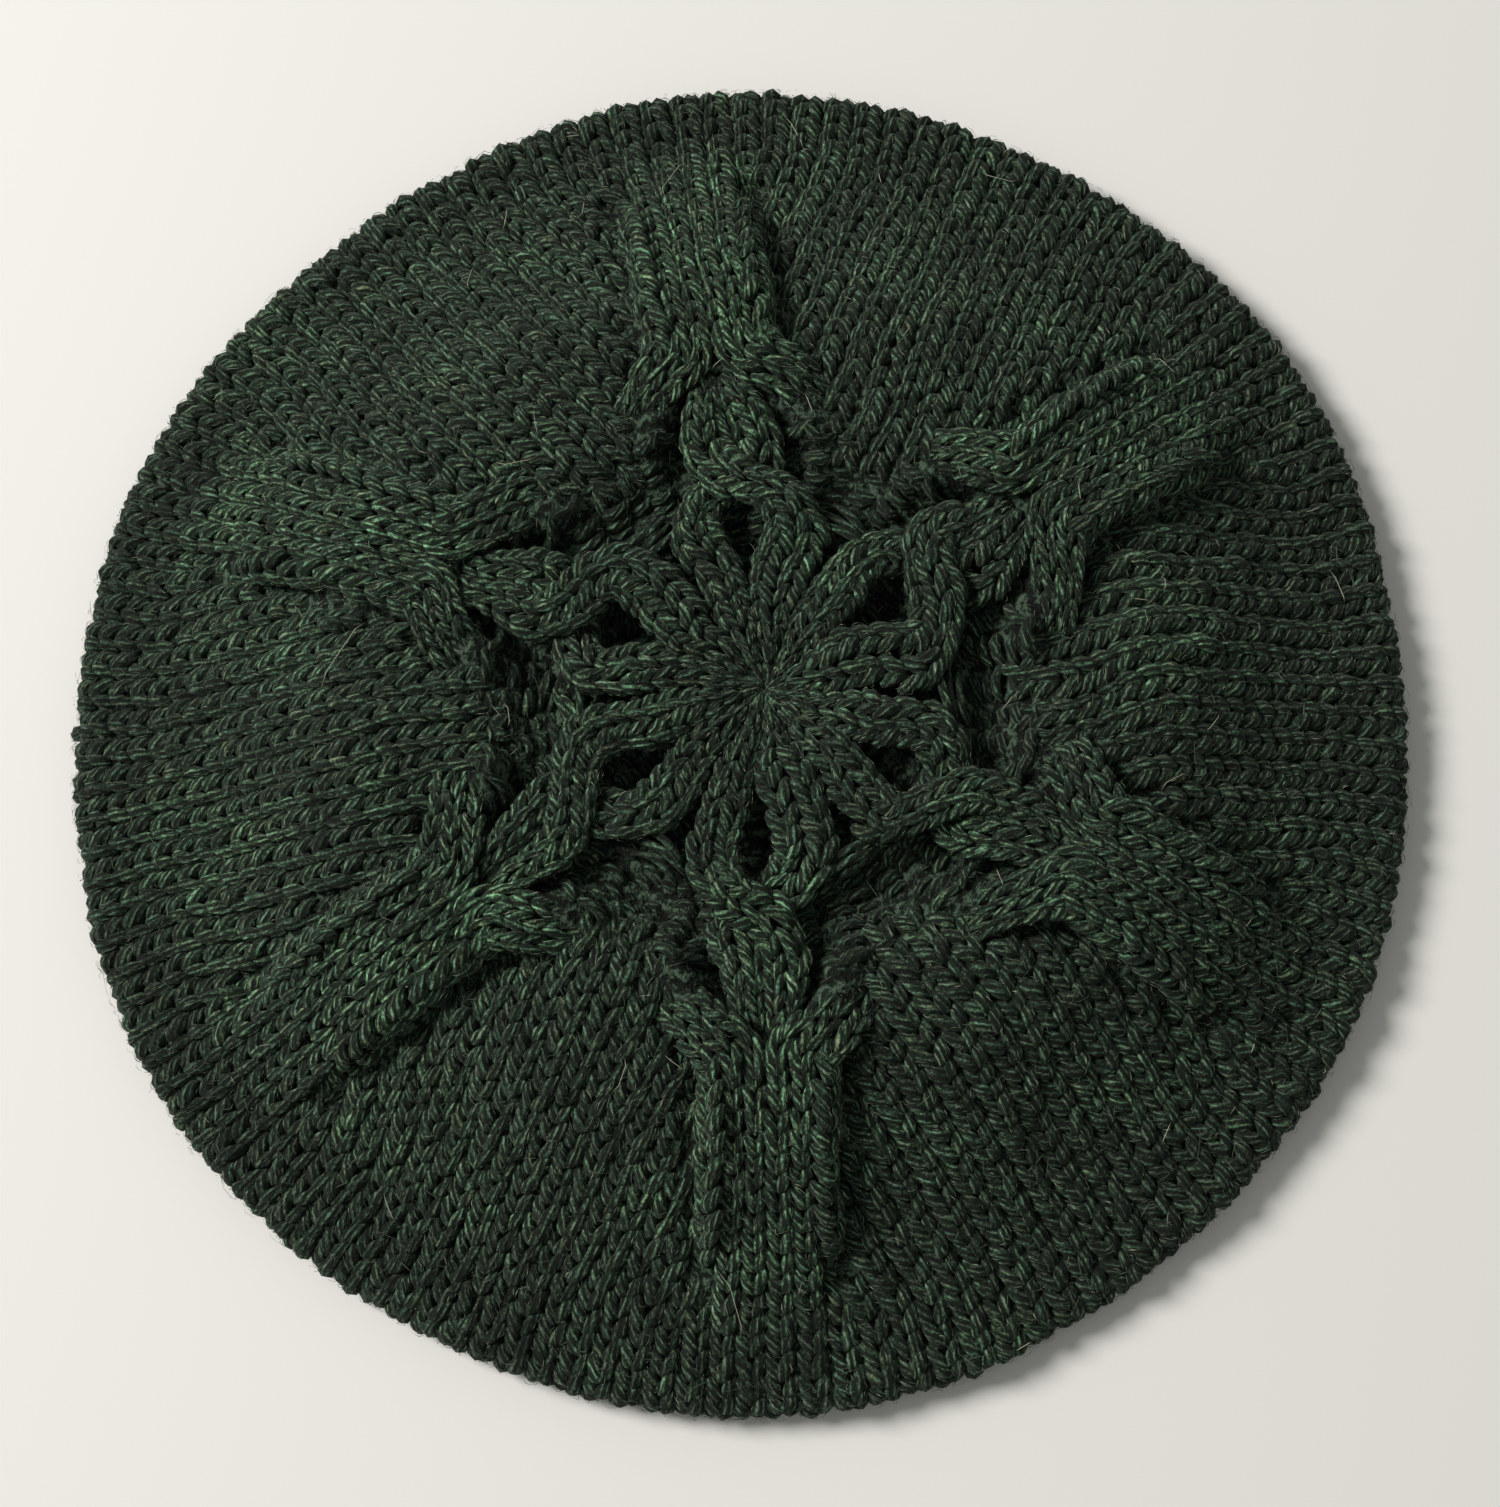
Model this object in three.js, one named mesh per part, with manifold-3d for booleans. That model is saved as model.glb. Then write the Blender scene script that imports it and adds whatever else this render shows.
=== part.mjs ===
// Knitted tam o shanter, lying crown up as it rests on a table.
// Millimetres, +Z up, +Y towards the first arm of the cable star, origin under the middle of the rim.
// Angles around the hat are in degrees, clockwise from +Y as seen from above.

import * as THREE from "three";
import { mergeVertices } from "three/addons/utils/BufferGeometryUtils.js";
import Module from "manifold-3d";

// Driving sizes of the fabric and the hat
const rimRadius = 130;
const fabricWall = 4;
const restingFaceWidth = 7;
const foldGap = 1.2;
const crownToUndersideGap = 1;

// Driving sizes of the ribbed band that stands under the crown
const bandInnerRadius = 68;
const bandWall = 4;
const bandHeight = 20;
const ribDepth = 0.8;
const ribCount = 26;
const seamGap = 0.3;

// Driving heights of the cable star, up and down from the plain crown
const armLift = 2.8;
const cableLift = 2.6;
const valleyDepth = 1.4;
const pocketDepth = 2.4;
const eyeDepth = 2.4;
const slitDepth = 1.2;
const centreDip = 1.6;

// How finely the surfaces are divided
const crownSegments = 108;
const hollowSegments = 36;
const crownRings = 20;
const rollSteps = 4;
const pointsPerRib = 6;

// Sizes that follow from the driving ones
const bandOuterRadius = bandInnerRadius + bandWall;
const seatRadius = bandOuterRadius + ribDepth + seamGap;
const seatHeight = bandHeight + seamGap;
const crownHeight = seatHeight + 2 * fabricWall + crownToUndersideGap;
const foldHeight = 2 * fabricWall + foldGap;
const rollRadius = foldHeight / 2;
const rollCentre = rimRadius - rollRadius;
const restingEdge = rollCentre - restingFaceWidth;

// The fall of the crown outside the band, and of the underside below it.
// out: share of the way from the band to the roll of the rim
// crown: share of the height from the rim's fold up to the crown
const crownSlope = [
  { out: 0.0, crown: 1.0 },
  { out: 0.1, crown: 0.94 },
  { out: 0.22, crown: 0.79 },
  { out: 0.35, crown: 0.61 },
  { out: 0.48, crown: 0.435 },
  { out: 0.62, crown: 0.265 },
  { out: 0.77, crown: 0.12 },
  { out: 0.9, crown: 0.03 },
];

// out: share of the way from the resting edge in to the band
// rise: share of the height from the table up to the seat on the band
const undersideSlope = [
  { out: 0.0, rise: 0.0 },
  { out: 0.3, rise: 0.22 },
  { out: 0.6, rise: 0.53 },
  { out: 0.85, rise: 0.85 },
  { out: 1.0, rise: 1.0 },
];

// The rim isn't a true circle: each row is one slow wave around it.
// waves: how many around, share: height of the wave as a share of the rim's radius, peak: where it is widest
const rimWaves = [
  { waves: 2, share: 0.0104, peak: 26 },
  { waves: 3, share: 0.004, peak: 23 },
  { waves: 6, share: 0.0058, peak: -4 },
];

// The six arms of the cable star, in degrees.
// arm: the outer arm, eye: the purl eye near the centre, pocket: the purl pocket clockwise of the arm
// reach: how far out the inner star lies here, as a share of its mean
const starArms = [
  { arm: -6.9, eye: -6.2, pocket: 25.4, reach: 0.995 },
  { arm: 55.0, eye: 54.0, pocket: 94.0, reach: 0.98 },
  { arm: 117.5, eye: 122.2, pocket: 150.8, reach: 1.02 },
  { arm: 178.2, eye: 182.2, pocket: 207.3, reach: 1.04 },
  { arm: 233.0, eye: 238.0, pocket: 264.3, reach: 0.99 },
  { arm: 292.0, eye: 292.2, pocket: 325.5, reach: 0.96 },
];

// Half widths of one arm's pieces, where at is the distance from the centre along the arm.
// All the numbers are shares of the rim's radius.
const armEdge = [
  { at: 0.36, half: 0.15 },
  { at: 0.41, half: 0.138 },
  { at: 0.46, half: 0.112 },
  { at: 0.52, half: 0.096 },
  { at: 0.6, half: 0.095 },
  { at: 0.7, half: 0.084 },
  { at: 0.8, half: 0.054 },
  { at: 0.88, half: 0.0 },
];
const armMouth = [
  { at: 0.36, half: 0.1 },
  { at: 0.4, half: 0.082 },
  { at: 0.43, half: 0.062 },
  { at: 0.455, half: 0.036 },
  { at: 0.475, half: 0.0 },
];
const tongueEdge = [
  { at: 0.06, half: 0.03 },
  { at: 0.13, half: 0.066 },
  { at: 0.2, half: 0.092 },
  { at: 0.27, half: 0.096 },
  { at: 0.33, half: 0.082 },
  { at: 0.39, half: 0.058 },
  { at: 0.43, half: 0.034 },
  { at: 0.456, half: 0.0 },
];

// Purl hollows between the cables, in shares of the rim's radius
const eye = { at: 0.205, halfLength: 0.052, halfWidth: 0.038 };
const pocket = { at: 0.318, halfLength: 0.064, halfWidth: 0.034 };
const slit = { from: 0.1, to: 0.27, halfWidth: 0.014 };
const edgeSoftness = 0.02;
const dipShare = 0.05;

const sectorHalf = 30;
const inDegrees = THREE.MathUtils.radToDeg;
const inRadians = THREE.MathUtils.degToRad;
const { lerp, smoothstep, euclideanModulo } = THREE.MathUtils;

// A value read from a table between its rows, which are in rising order of the key column.
function tableValue(rows, key, column, at) {
  if (at <= rows[0][key]) return rows[0][column];
  for (let i = 1; i < rows.length; i += 1) {
    const below = rows[i - 1];
    const above = rows[i];
    if (at <= above[key]) {
      return lerp(below[column], above[column], (at - below[key]) / (above[key] - below[key]));
    }
  }
  return rows[rows.length - 1][column];
}

// The angle from one direction clockwise to another, from 0 up to 360.
const turnTo = (from, to) => euclideanModulo(to - from, 360);

// The middle line of one arm, and the line between it and the next arm, at a share of the radius.
function armLine(index, share) {
  const row = starArms[index];
  return row.eye + (row.arm - row.eye) * smoothstep(share, 0.26, 0.48);
}

function pocketLine(index, share) {
  const row = starArms[index];
  const next = starArms[(index + 1) % starArms.length];
  const middle = row.arm + turnTo(row.arm, next.arm) / 2;
  return row.pocket + (middle - row.pocket) * smoothstep(share, 0.36, 0.6);
}

// Where a direction lies in the star: degrees to the side of the nearest arm, and that arm's reach.
function placeInStar(angle, share) {
  for (let i = 0; i < starArms.length; i += 1) {
    const before = pocketLine((i + starArms.length - 1) % starArms.length, share);
    const middle = turnTo(before, armLine(i, share));
    const after = turnTo(before, pocketLine(i, share));
    const here = turnTo(before, angle);
    if (here <= after) {
      const side = here < middle ? (middle - here) / middle : (here - middle) / (after - middle);
      return { side: side * sectorHalf, reach: starArms[i].reach };
    }
  }
  throw new Error("no arm of the star lies in this direction");
}

// 1 inside an edge, 0 outside it, with a soft step between.
const inside = (distance, edge) => 1 - smoothstep(distance, edge - edgeSoftness, edge + edgeSoftness);

// How high the crown stands above its plain fabric, at an angle and a share of the rim's radius.
function starRelief(angle, share) {
  const place = placeInStar(angle, share);
  const stretch = lerp(place.reach, 1, smoothstep(share, 0.5, 0.7));
  const radius = share / stretch;
  const side = inRadians(place.side);
  const across = radius * Math.sin(side);
  const along = radius * Math.cos(side);

  const armHalf = tableValue(armEdge, "at", "half", along);
  const onArm =
    inside(across, armHalf) *
    (1 - inside(across, tableValue(armMouth, "at", "half", along))) *
    smoothstep(along, 0.33, 0.38) *
    (1 - smoothstep(along, 0.74, 0.88));
  const valley =
    Math.exp(-(((across - armHalf - edgeSoftness) / edgeSoftness) ** 2)) *
    smoothstep(along, 0.44, 0.5) *
    (1 - smoothstep(along, 0.7, 0.84));

  const onTongue = inside(across, tableValue(tongueEdge, "at", "half", along));
  const inEye = inside(
    Math.hypot((along - eye.at) / eye.halfLength, across / eye.halfWidth) * eye.halfWidth,
    eye.halfWidth,
  );
  const fromPocketLine = radius * Math.sin(inRadians(sectorHalf - place.side));
  const inPocket = inside(
    Math.hypot((radius - pocket.at) / pocket.halfWidth, fromPocketLine / pocket.halfLength) *
      pocket.halfWidth,
    pocket.halfWidth,
  );
  const inSlit =
    inside(fromPocketLine, slit.halfWidth) *
    smoothstep(radius, slit.from, slit.from + dipShare) *
    (1 - smoothstep(radius, slit.to - dipShare, slit.to));
  const inDip = Math.exp(-((radius / dipShare) ** 2));

  return (
    armLift * onArm -
    valleyDepth * valley +
    cableLift * onTongue * (1 - inEye) -
    eyeDepth * inEye -
    pocketDepth * inPocket * (1 - onTongue) -
    slitDepth * inSlit -
    centreDip * inDip
  );
}

// How far the rim's waves move a point outwards, as a share of its distance from the axis.
function rimWave(angle, radius) {
  const wave = rimWaves.reduce(
    (sum, row) => sum + row.share * Math.cos(inRadians(row.waves * (angle - row.peak))),
    0,
  );
  return wave * smoothstep(radius, seatRadius, rollCentre);
}

// Section of the crown, from beside the band out to the roll of the rim.
function crownFall(lowered) {
  return crownSlope.map(
    (row) =>
      new THREE.Vector2(
        lerp(seatRadius, rollCentre, row.out),
        lerp(foldHeight, crownHeight, row.crown) - lowered,
      ),
  );
}

// Section of the underside, from its resting edge in to its seat on the band.
function undersideRise(raised) {
  return undersideSlope.map(
    (row) =>
      new THREE.Vector2(
        lerp(restingEdge, seatRadius, row.out),
        row.rise * seatHeight + raised,
      ),
  );
}

// Outer section of the shell, from the axis below the opening: underside, roll of the rim, crown.
function outerSection() {
  const crown = Array.from(
    { length: crownRings },
    (_, i) => new THREE.Vector2((seatRadius * i) / crownRings, crownHeight),
  );
  const roll = Array.from({ length: rollSteps + 1 }, (_, i) => {
    const turn = (Math.PI * i) / rollSteps;
    return new THREE.Vector2(
      rollCentre + rollRadius * Math.sin(turn),
      rollRadius + rollRadius * Math.cos(turn),
    );
  });
  const downwards = [...crown, ...crownFall(0), ...roll, ...undersideRise(0)];
  return [new THREE.Vector2(0, seatHeight), ...downwards.reverse()];
}

// Section of the hollow, from below the opening up and out between the two layers.
function hollowSection() {
  const below = seatHeight - fabricWall;
  const fold = new THREE.Vector2(rollCentre, rollRadius);
  return [
    new THREE.Vector2(0, below),
    new THREE.Vector2(bandInnerRadius, below),
    new THREE.Vector2(bandInnerRadius, seatHeight + fabricWall),
    ...undersideRise(fabricWall).reverse(),
    fold,
    ...crownFall(fabricWall).reverse(),
    new THREE.Vector2(0, crownHeight - fabricWall),
  ];
}

// A section turned about +Z, with the rim's waves and the relief that it is given.
function turnedSection(section, segments, relief) {
  const geometry = new THREE.LatheGeometry(section, segments);
  geometry.rotateX(Math.PI / 2);
  const position = geometry.getAttribute("position");
  for (let i = 0; i < position.count; i += 1) {
    const x = position.getX(i);
    const y = position.getY(i);
    const angle = inDegrees(Math.atan2(x, y));
    const radius = Math.hypot(x, y);
    const grown = 1 + rimWave(angle, radius);
    position.setXYZ(i, x * grown, y * grown, position.getZ(i) + relief(i % section.length, angle, radius));
  }
  return geometry;
}

const wasm = await Module();
wasm.setup();

function solidFrom(geometry) {
  const bare = new THREE.BufferGeometry();
  bare.setAttribute("position", geometry.getAttribute("position"));
  bare.setIndex(geometry.getIndex());
  const merged = mergeVertices(bare, 1e-3);
  return new wasm.Manifold(
    new wasm.Mesh({
      numProp: 3,
      vertProperties: merged.getAttribute("position").array,
      triVerts: new Uint32Array(merged.getIndex().array),
    }),
  );
}

function geometryFrom(solid) {
  const mesh = solid.getMesh();
  const geometry = new THREE.BufferGeometry();
  geometry.setAttribute("position", new THREE.BufferAttribute(mesh.vertProperties, mesh.numProp));
  geometry.setIndex(new THREE.BufferAttribute(mesh.triVerts, 1));
  geometry.computeVertexNormals();
  return geometry;
}

const wool = new THREE.MeshStandardMaterial({ color: "#2a362c", roughness: 0.95, metalness: 0 });

// Crown, rim and underside: one knitted piece, open where the band joins it.
function knittedShell() {
  const section = outerSection();
  const firstCrownPoint = section.length - crownRings - crownSlope.length;
  const crownRelief = (point, angle, radius) =>
    point < firstCrownPoint ? 0 : starRelief(angle, radius / rimRadius);
  const outer = solidFrom(turnedSection(section, crownSegments, crownRelief));
  const hollow = solidFrom(turnedSection(hollowSection(), hollowSegments, () => 0));
  return new THREE.Mesh(geometryFrom(outer.subtract(hollow)), wool);
}

// Outline of the band's fabric at one radius, with its ribs standing in and out together.
function ribbedOutline(radius) {
  const count = ribCount * pointsPerRib;
  return Array.from({ length: count }, (_, i) => {
    const turn = (2 * Math.PI * i) / count;
    const ribbed = radius + ribDepth * Math.cos(ribCount * turn);
    return new THREE.Vector2(ribbed * Math.cos(turn), ribbed * Math.sin(turn));
  });
}

// Ribbed band: one knitted tube that the head goes through.
function ribbedBand() {
  const ring = new THREE.Shape(ribbedOutline(bandOuterRadius));
  ring.holes.push(new THREE.Path(ribbedOutline(bandInnerRadius)));
  const tube = new THREE.ExtrudeGeometry(ring, { depth: bandHeight, bevelEnabled: false });
  return new THREE.Mesh(tube, wool);
}

const hat = new THREE.Group();

const crownShell = knittedShell();
crownShell.name = "crown_shell";
hat.add(crownShell);

const ribBand = ribbedBand();
ribBand.name = "rib_band";
hat.add(ribBand);

// The origin lies under the middle of the rim, which the waves move a little off the band's axis.
const footprint = new THREE.Box3().setFromObject(hat).getCenter(new THREE.Vector3());
hat.position.set(-footprint.x, -footprint.y, 0);

export default hat;
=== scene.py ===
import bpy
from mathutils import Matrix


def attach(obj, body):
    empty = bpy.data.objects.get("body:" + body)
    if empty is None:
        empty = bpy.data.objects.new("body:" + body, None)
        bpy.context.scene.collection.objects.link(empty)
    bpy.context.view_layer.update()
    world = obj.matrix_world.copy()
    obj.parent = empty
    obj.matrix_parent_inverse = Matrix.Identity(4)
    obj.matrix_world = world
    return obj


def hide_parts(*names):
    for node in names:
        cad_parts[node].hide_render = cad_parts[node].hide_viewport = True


bl_info = {
    "name": "Knitted tam o shanter",
    "version": (1, 0, 0),
    "blender": (4, 5, 0),
    "location": "View3D > Sidebar > Tam",
    "description": "Knits a wool tam o shanter stitch by stitch around its solid model",
    "category": "Object",
}

import math

import bmesh
import bpy
import numpy as np
from mathutils import Matrix, Vector

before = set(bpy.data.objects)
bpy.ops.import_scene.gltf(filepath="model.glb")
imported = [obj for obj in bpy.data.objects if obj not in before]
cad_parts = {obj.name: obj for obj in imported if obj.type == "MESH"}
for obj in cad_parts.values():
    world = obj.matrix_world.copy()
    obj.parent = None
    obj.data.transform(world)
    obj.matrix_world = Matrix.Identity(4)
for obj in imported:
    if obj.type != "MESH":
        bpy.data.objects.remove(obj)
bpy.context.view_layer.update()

# The solid model's sizes, in millimetres
RIM_RADIUS = 130.0
ROLL_RADIUS = 4.6
ROLL_CENTRE = 125.4
SEAT_RADIUS = 73.1
FABRIC_WALL = 4.0
BAND_INNER_RADIUS = 68.0
BAND_OUTER_RADIUS = 72.0
BAND_HEIGHT = 20.0
RIB_DEPTH = 0.8
RIB_COUNT = 26
METRES = 0.001

# The middle of the band and rim, and how far the crown's middle is pulled from there
HAT_MIDDLE = np.array((0.4855, -0.1863))
CROWN_PULL = np.array((4.0, 0.2))

# Distance from the axis and height of the crown's surface
CROWN_SECTION = np.array(
    (
        (0.0, 29.3),
        (36.0, 29.3),
        (60.0, 29.3),
        (73.1, 29.2),
        (78.3, 28.1),
        (84.6, 25.1),
        (91.4, 21.5),
        (98.2, 17.9),
        (105.5, 14.5),
        (113.4, 11.6),
        (120.2, 9.8),
        (125.4, 9.2),
    )
)

# Distance from the axis and height of the underside's surface
UNDERSIDE_SECTION = np.array(
    (
        (73.1, 20.3),
        (79.9, 17.3),
        (91.2, 10.8),
        (104.8, 4.5),
        (118.4, 0.0),
        (125.4, 0.0),
    )
)

# Slow waves around the rim: how many, share of the radius, direction of the widest place
RIM_WAVES = ((2, 0.0104, 26.0), (3, 0.004, 23.0), (6, 0.0058, -4.0))

# The star's arms, degrees clockwise from +Y: outer arm, purl eye, purl pocket after it; then the
# reach of the inner star there and how many millimetres the ends of the arm's halves droop
STAR_ARMS = np.array(
    (
        (-6.9, -6.2, 25.4, 0.995, 3.0),
        (55.0, 54.0, 94.0, 0.98, 0.4),
        (117.5, 122.2, 150.8, 1.02, 0.6),
        (178.2, 182.2, 207.3, 1.04, 3.6),
        (233.0, 238.0, 264.3, 0.99, 1.0),
        (292.0, 292.2, 325.5, 0.96, 1.4),
    )
)
SECTOR_HALF = 30.0

# Tables below are shares of the rim's radius, measured along an arm from the crown's middle.
# Half width of the raised part of an arm
ARM_EDGE = np.array(
    (
        (0.36, 0.150),
        (0.41, 0.138),
        (0.46, 0.112),
        (0.52, 0.096),
        (0.60, 0.096),
        (0.70, 0.096),
        (0.80, 0.088),
        (0.88, 0.068),
        (0.94, 0.040),
    )
)
# Half width of the six stitch columns that an arm is knitted from
ARM_COLUMNS = np.array(
    (
        (0.50, 0.097),
        (0.52, 0.096),
        (0.60, 0.095),
        (0.72, 0.103),
        (0.80, 0.112),
        (0.88, 0.126),
        (0.94, 0.134),
    )
)
# One half of an arm below its split: along the arm, across it, half width, height in millimetres
ARM_HALF = np.array(
    (
        (0.570, 0.0475, 0.0480, 4.1),
        (0.530, 0.0475, 0.0475, 4.2),
        (0.505, 0.0490, 0.0470, 4.5),
        (0.490, 0.0600, 0.0455, 4.7),
        (0.475, 0.0780, 0.0430, 4.7),
        (0.455, 0.0990, 0.0410, 4.5),
        (0.438, 0.1180, 0.0380, 4.0),
        (0.418, 0.1370, 0.0350, 2.8),
        (0.395, 0.1490, 0.0310, 0.6),
        (0.370, 0.1560, 0.0250, -2.4),
        (0.345, 0.1600, 0.0200, -5.0),
    )
)
# The inner end of a strand on the clockwise side of its arm, in the same columns
STRAND_END = (
    (0.165, 0.0455, 0.0395, 2.9),
    (0.130, 0.0335, 0.0355, 2.5),
    (0.090, 0.0235, 0.0255, 1.9),
    (0.055, 0.0147, 0.0137, 1.2),
    (0.030, 0.0080, 0.0076, 0.0),
    (0.015, 0.0045, 0.0050, -0.6),
    (-0.005, 0.0, 0.0040, -1.6),
    (-0.030, 0.0, 0.0040, -4.0),
)
# The tongue and strand that cross over, to the clockwise side of the eye
OVER_STRAND = np.array(
    (
        (0.510, -0.009, 0.009, -2.0),
        (0.485, -0.013, 0.013, 0.2),
        (0.460, -0.019, 0.019, 2.0),
        (0.430, -0.025, 0.025, 2.9),
        (0.400, -0.030, 0.030, 3.1),
        (0.370, -0.035, 0.035, 3.0),
        (0.335, -0.028, 0.039, 3.2),
        (0.312, -0.004, 0.037, 4.1),
        (0.292, 0.027, 0.036, 4.2),
        (0.270, 0.055, 0.037, 3.9),
        (0.245, 0.0680, 0.0390, 3.6),
        (0.215, 0.0690, 0.0400, 3.4),
        (0.190, 0.0590, 0.0400, 3.2),
        *STRAND_END,
    )
)
# The tongue and strand that cross under, to the other side
UNDER_STRAND = np.array(
    (
        (0.510, 0.009, 0.009, -2.0),
        (0.485, 0.013, 0.013, 0.2),
        (0.460, 0.019, 0.019, 2.0),
        (0.430, 0.025, 0.025, 2.9),
        (0.400, 0.030, 0.030, 3.0),
        (0.370, 0.035, 0.035, 2.2),
        (0.335, 0.029, 0.037, 0.4),
        (0.312, 0.006, 0.034, -0.2),
        (0.292, -0.026, 0.034, 0.2),
        (0.270, -0.054, 0.037, 2.0),
        (0.245, -0.0680, 0.0390, 3.0),
        (0.215, -0.0690, 0.0400, 3.2),
        (0.190, -0.0590, 0.0400, 3.1),
        *((along, 0.0 - across, half, height) for along, across, half, height in STRAND_END),
    )
)

# Relief of the crown in millimetres, and the middle, half length and half width of its hollows
ARM_HEIGHT = 4.5
ARM_GROOVE = 0.5
ARM_VALLEY = 2.7
PANEL_SWELLING = 2.6
POCKET_DEPTH = 2.6
POCKET_SHAPE = (0.318, 0.034, 0.064)
SLIT_DEPTH = 0.8
EYE_DEPTH = 1.7
EYE_SHAPE = (0.205, 0.052, 0.038)
SPLIT_DEPTH = 2.6
MIDDLE_DIP = 2.6

# Stitch layout: columns in a sixth of the rim, half a panel, half an arm, a strand and a sixth of
# the purl field; then, as shares of the radius, how wide they are and where they begin and end
RIM_COLUMNS = 22
PANEL_COLUMNS = 8
ARM_HALF_COLUMNS = 3
STRAND_COLUMNS = 2
PURL_COLUMNS = 9
PANEL_PITCH = 0.0419
ARM_START = 0.88
ARM_SAMPLED = 0.50
ARM_END = 0.535
PANEL_END = 0.362
PANEL_END_STEP = 0.009
# Outside this share a panel keeps clear of the arm's columns, and inside it of the raised part
ARM_WIDENS = 0.7
# Between these shares the ends of the arm's halves droop
DROOP_RANGE = (0.405, 0.465)
PURL_START = 0.42
PURL_END = 0.10
# Within this share of the radius only every other purl stitch fits
PURL_THINNED = 0.2
# Heights of the rows and how far the layers lie under the hat's outer surface, in millimetres
ROW_HEIGHT = 4.0
STRAND_ROW = 3.6
PURL_ROW = 2.5
PURL_INSET = 1.9
FABRIC_INSET = 1.6
GROUND_INSET = 1.85
RIM_GROUND_INSET = 1.0
BAND_INSET = 1.2
# Between these distances from the axis the ground rises towards the rim's stitches
RIM_RISE = (RIM_RADIUS - 5.0, RIM_RADIUS - 1.5)
# Rows of the rim's columns on its upper side, and on its upper side and roll together
RIM_ROWS = 4
UPPER_ROWS = 8
# Length left free between the underside's last row and the band
SEAM_GAP = 2.0
# Samples of a column in each of its rows
ROW_STEPS = 4
# Distances from the axis and heights midway between the crown and the underside
BETWEEN_LAYERS = ((0.0, SEAT_RADIUS, 120.0, 126.0), (21.0, 21.5, 4.6, 4.6))

# One leg of a knit stitch: share of its length, rows along, share of the column across, height
KNIT_LEG = np.array(
    (
        (0.00, -0.36, 0.030, -1.10),
        (0.15, -0.16, 0.070, -0.05),
        (0.32, 0.08, 0.145, 0.45),
        (0.50, 0.34, 0.235, 0.48),
        (0.68, 0.60, 0.320, 0.22),
        (0.85, 0.84, 0.380, -0.35),
        (1.00, 1.05, 0.370, -1.35),
    )
)
# One bump of a purl stitch, across its column
PURL_BUMP = np.array(
    (
        (0.00, 0.10, -0.52, -1.00),
        (0.25, 0.36, -0.30, 0.15),
        (0.50, 0.46, 0.00, 0.50),
        (0.75, 0.36, 0.30, 0.15),
        (1.00, 0.10, 0.52, -1.00),
    )
)


class TamKnitSettings(bpy.types.PropertyGroup):
    """Sizes of the knitting"""

    yarn: bpy.props.FloatProperty(
        name="Yarn",
        description="Thickness of the wool yarn",
        default=0.00270,
        min=0.001,
        max=0.005,
        precision=5,
        unit="LENGTH",
    )
    unevenness: bpy.props.FloatProperty(
        name="Unevenness",
        description="How much stitches differ from each other, as a share of a stitch",
        default=0.065,
        min=0.0,
        max=0.2,
        subtype="FACTOR",
    )
    hairs: bpy.props.IntProperty(
        name="Hairs",
        description="Number of short fibres that stand off each leg of a stitch",
        default=5,
        min=1,
        max=5,
    )
    loose_fibres: bpy.props.IntProperty(
        name="Loose fibres",
        description="Number of fine wool fibres that stand off the knitting",
        default=6000,
        min=0,
        max=15000,
    )
    seed: bpy.props.IntProperty(
        name="Seed",
        description="Start of the random numbers",
        default=7,
        min=0,
    )


class TamColourSettings(bpy.types.PropertyGroup):
    """Colours of the wool"""

    deep: bpy.props.FloatVectorProperty(
        name="Deep",
        description="Colour of the darkest fibres",
        default=(0.0030, 0.0030, 0.0022),
        subtype="COLOR",
        min=0.0,
        max=1.0,
        size=3,
    )
    body: bpy.props.FloatVectorProperty(
        name="Body",
        description="Main bottle green of the wool",
        default=(0.0036, 0.0083, 0.0048),
        subtype="COLOR",
        min=0.0,
        max=1.0,
        size=3,
    )
    light: bpy.props.FloatVectorProperty(
        name="Light",
        description="Colour of the light heather fibres",
        default=(0.051, 0.079, 0.054),
        subtype="COLOR",
        min=0.0,
        max=1.0,
        size=3,
    )


class TamStageSettings(bpy.types.PropertyGroup):
    """Floor and lights"""

    floor: bpy.props.FloatVectorProperty(
        name="Floor",
        description="Colour of the plain floor",
        default=(0.70, 0.69, 0.67),
        subtype="COLOR",
        min=0.0,
        max=1.0,
        size=3,
    )
    key_power: bpy.props.FloatProperty(
        name="Key light",
        description="Strength of the large soft light at the upper left",
        default=56.0,
        min=0.0,
        unit="POWER",
    )
    fill: bpy.props.FloatProperty(
        name="Fill",
        description="Strength of the even light from all around",
        default=0.32,
        min=0.0,
    )


def smoothstep(value, low, high):
    """0 below low, 1 above high and a soft rise between."""
    share = np.clip((value - low) / (high - low), 0.0, 1.0)
    return share * share * (3.0 - 2.0 * share)


def smooth_rows(rows, at):
    """The columns of a table after its first, on a smooth curve through its rows."""
    falling = rows[0, 0] > rows[-1, 0]
    ordered = rows[::-1] if falling else rows
    keys = ordered[:, 0]
    values = ordered[:, 1:]
    slopes = np.gradient(values, keys, axis=0)
    place = np.clip(at, keys[0], keys[-1])
    below = np.clip(np.searchsorted(keys, place) - 1, 0, len(keys) - 2)
    span = (keys[below + 1] - keys[below])[..., None]
    share = (place - keys[below])[..., None] / span
    square = share * share
    cube = square * share
    result = (
        (2 * cube - 3 * square + 1) * values[below]
        + (cube - 2 * square + share) * span * slopes[below]
        + (3 * square - 2 * cube) * values[below + 1]
        + (cube - square) * span * slopes[below + 1]
    )
    return result[..., 0] if values.shape[1] == 1 else result


def unit(vectors):
    """The vectors at length one."""
    return vectors / np.maximum(np.linalg.norm(vectors, axis=-1, keepdims=True), 1e-9)


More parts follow.
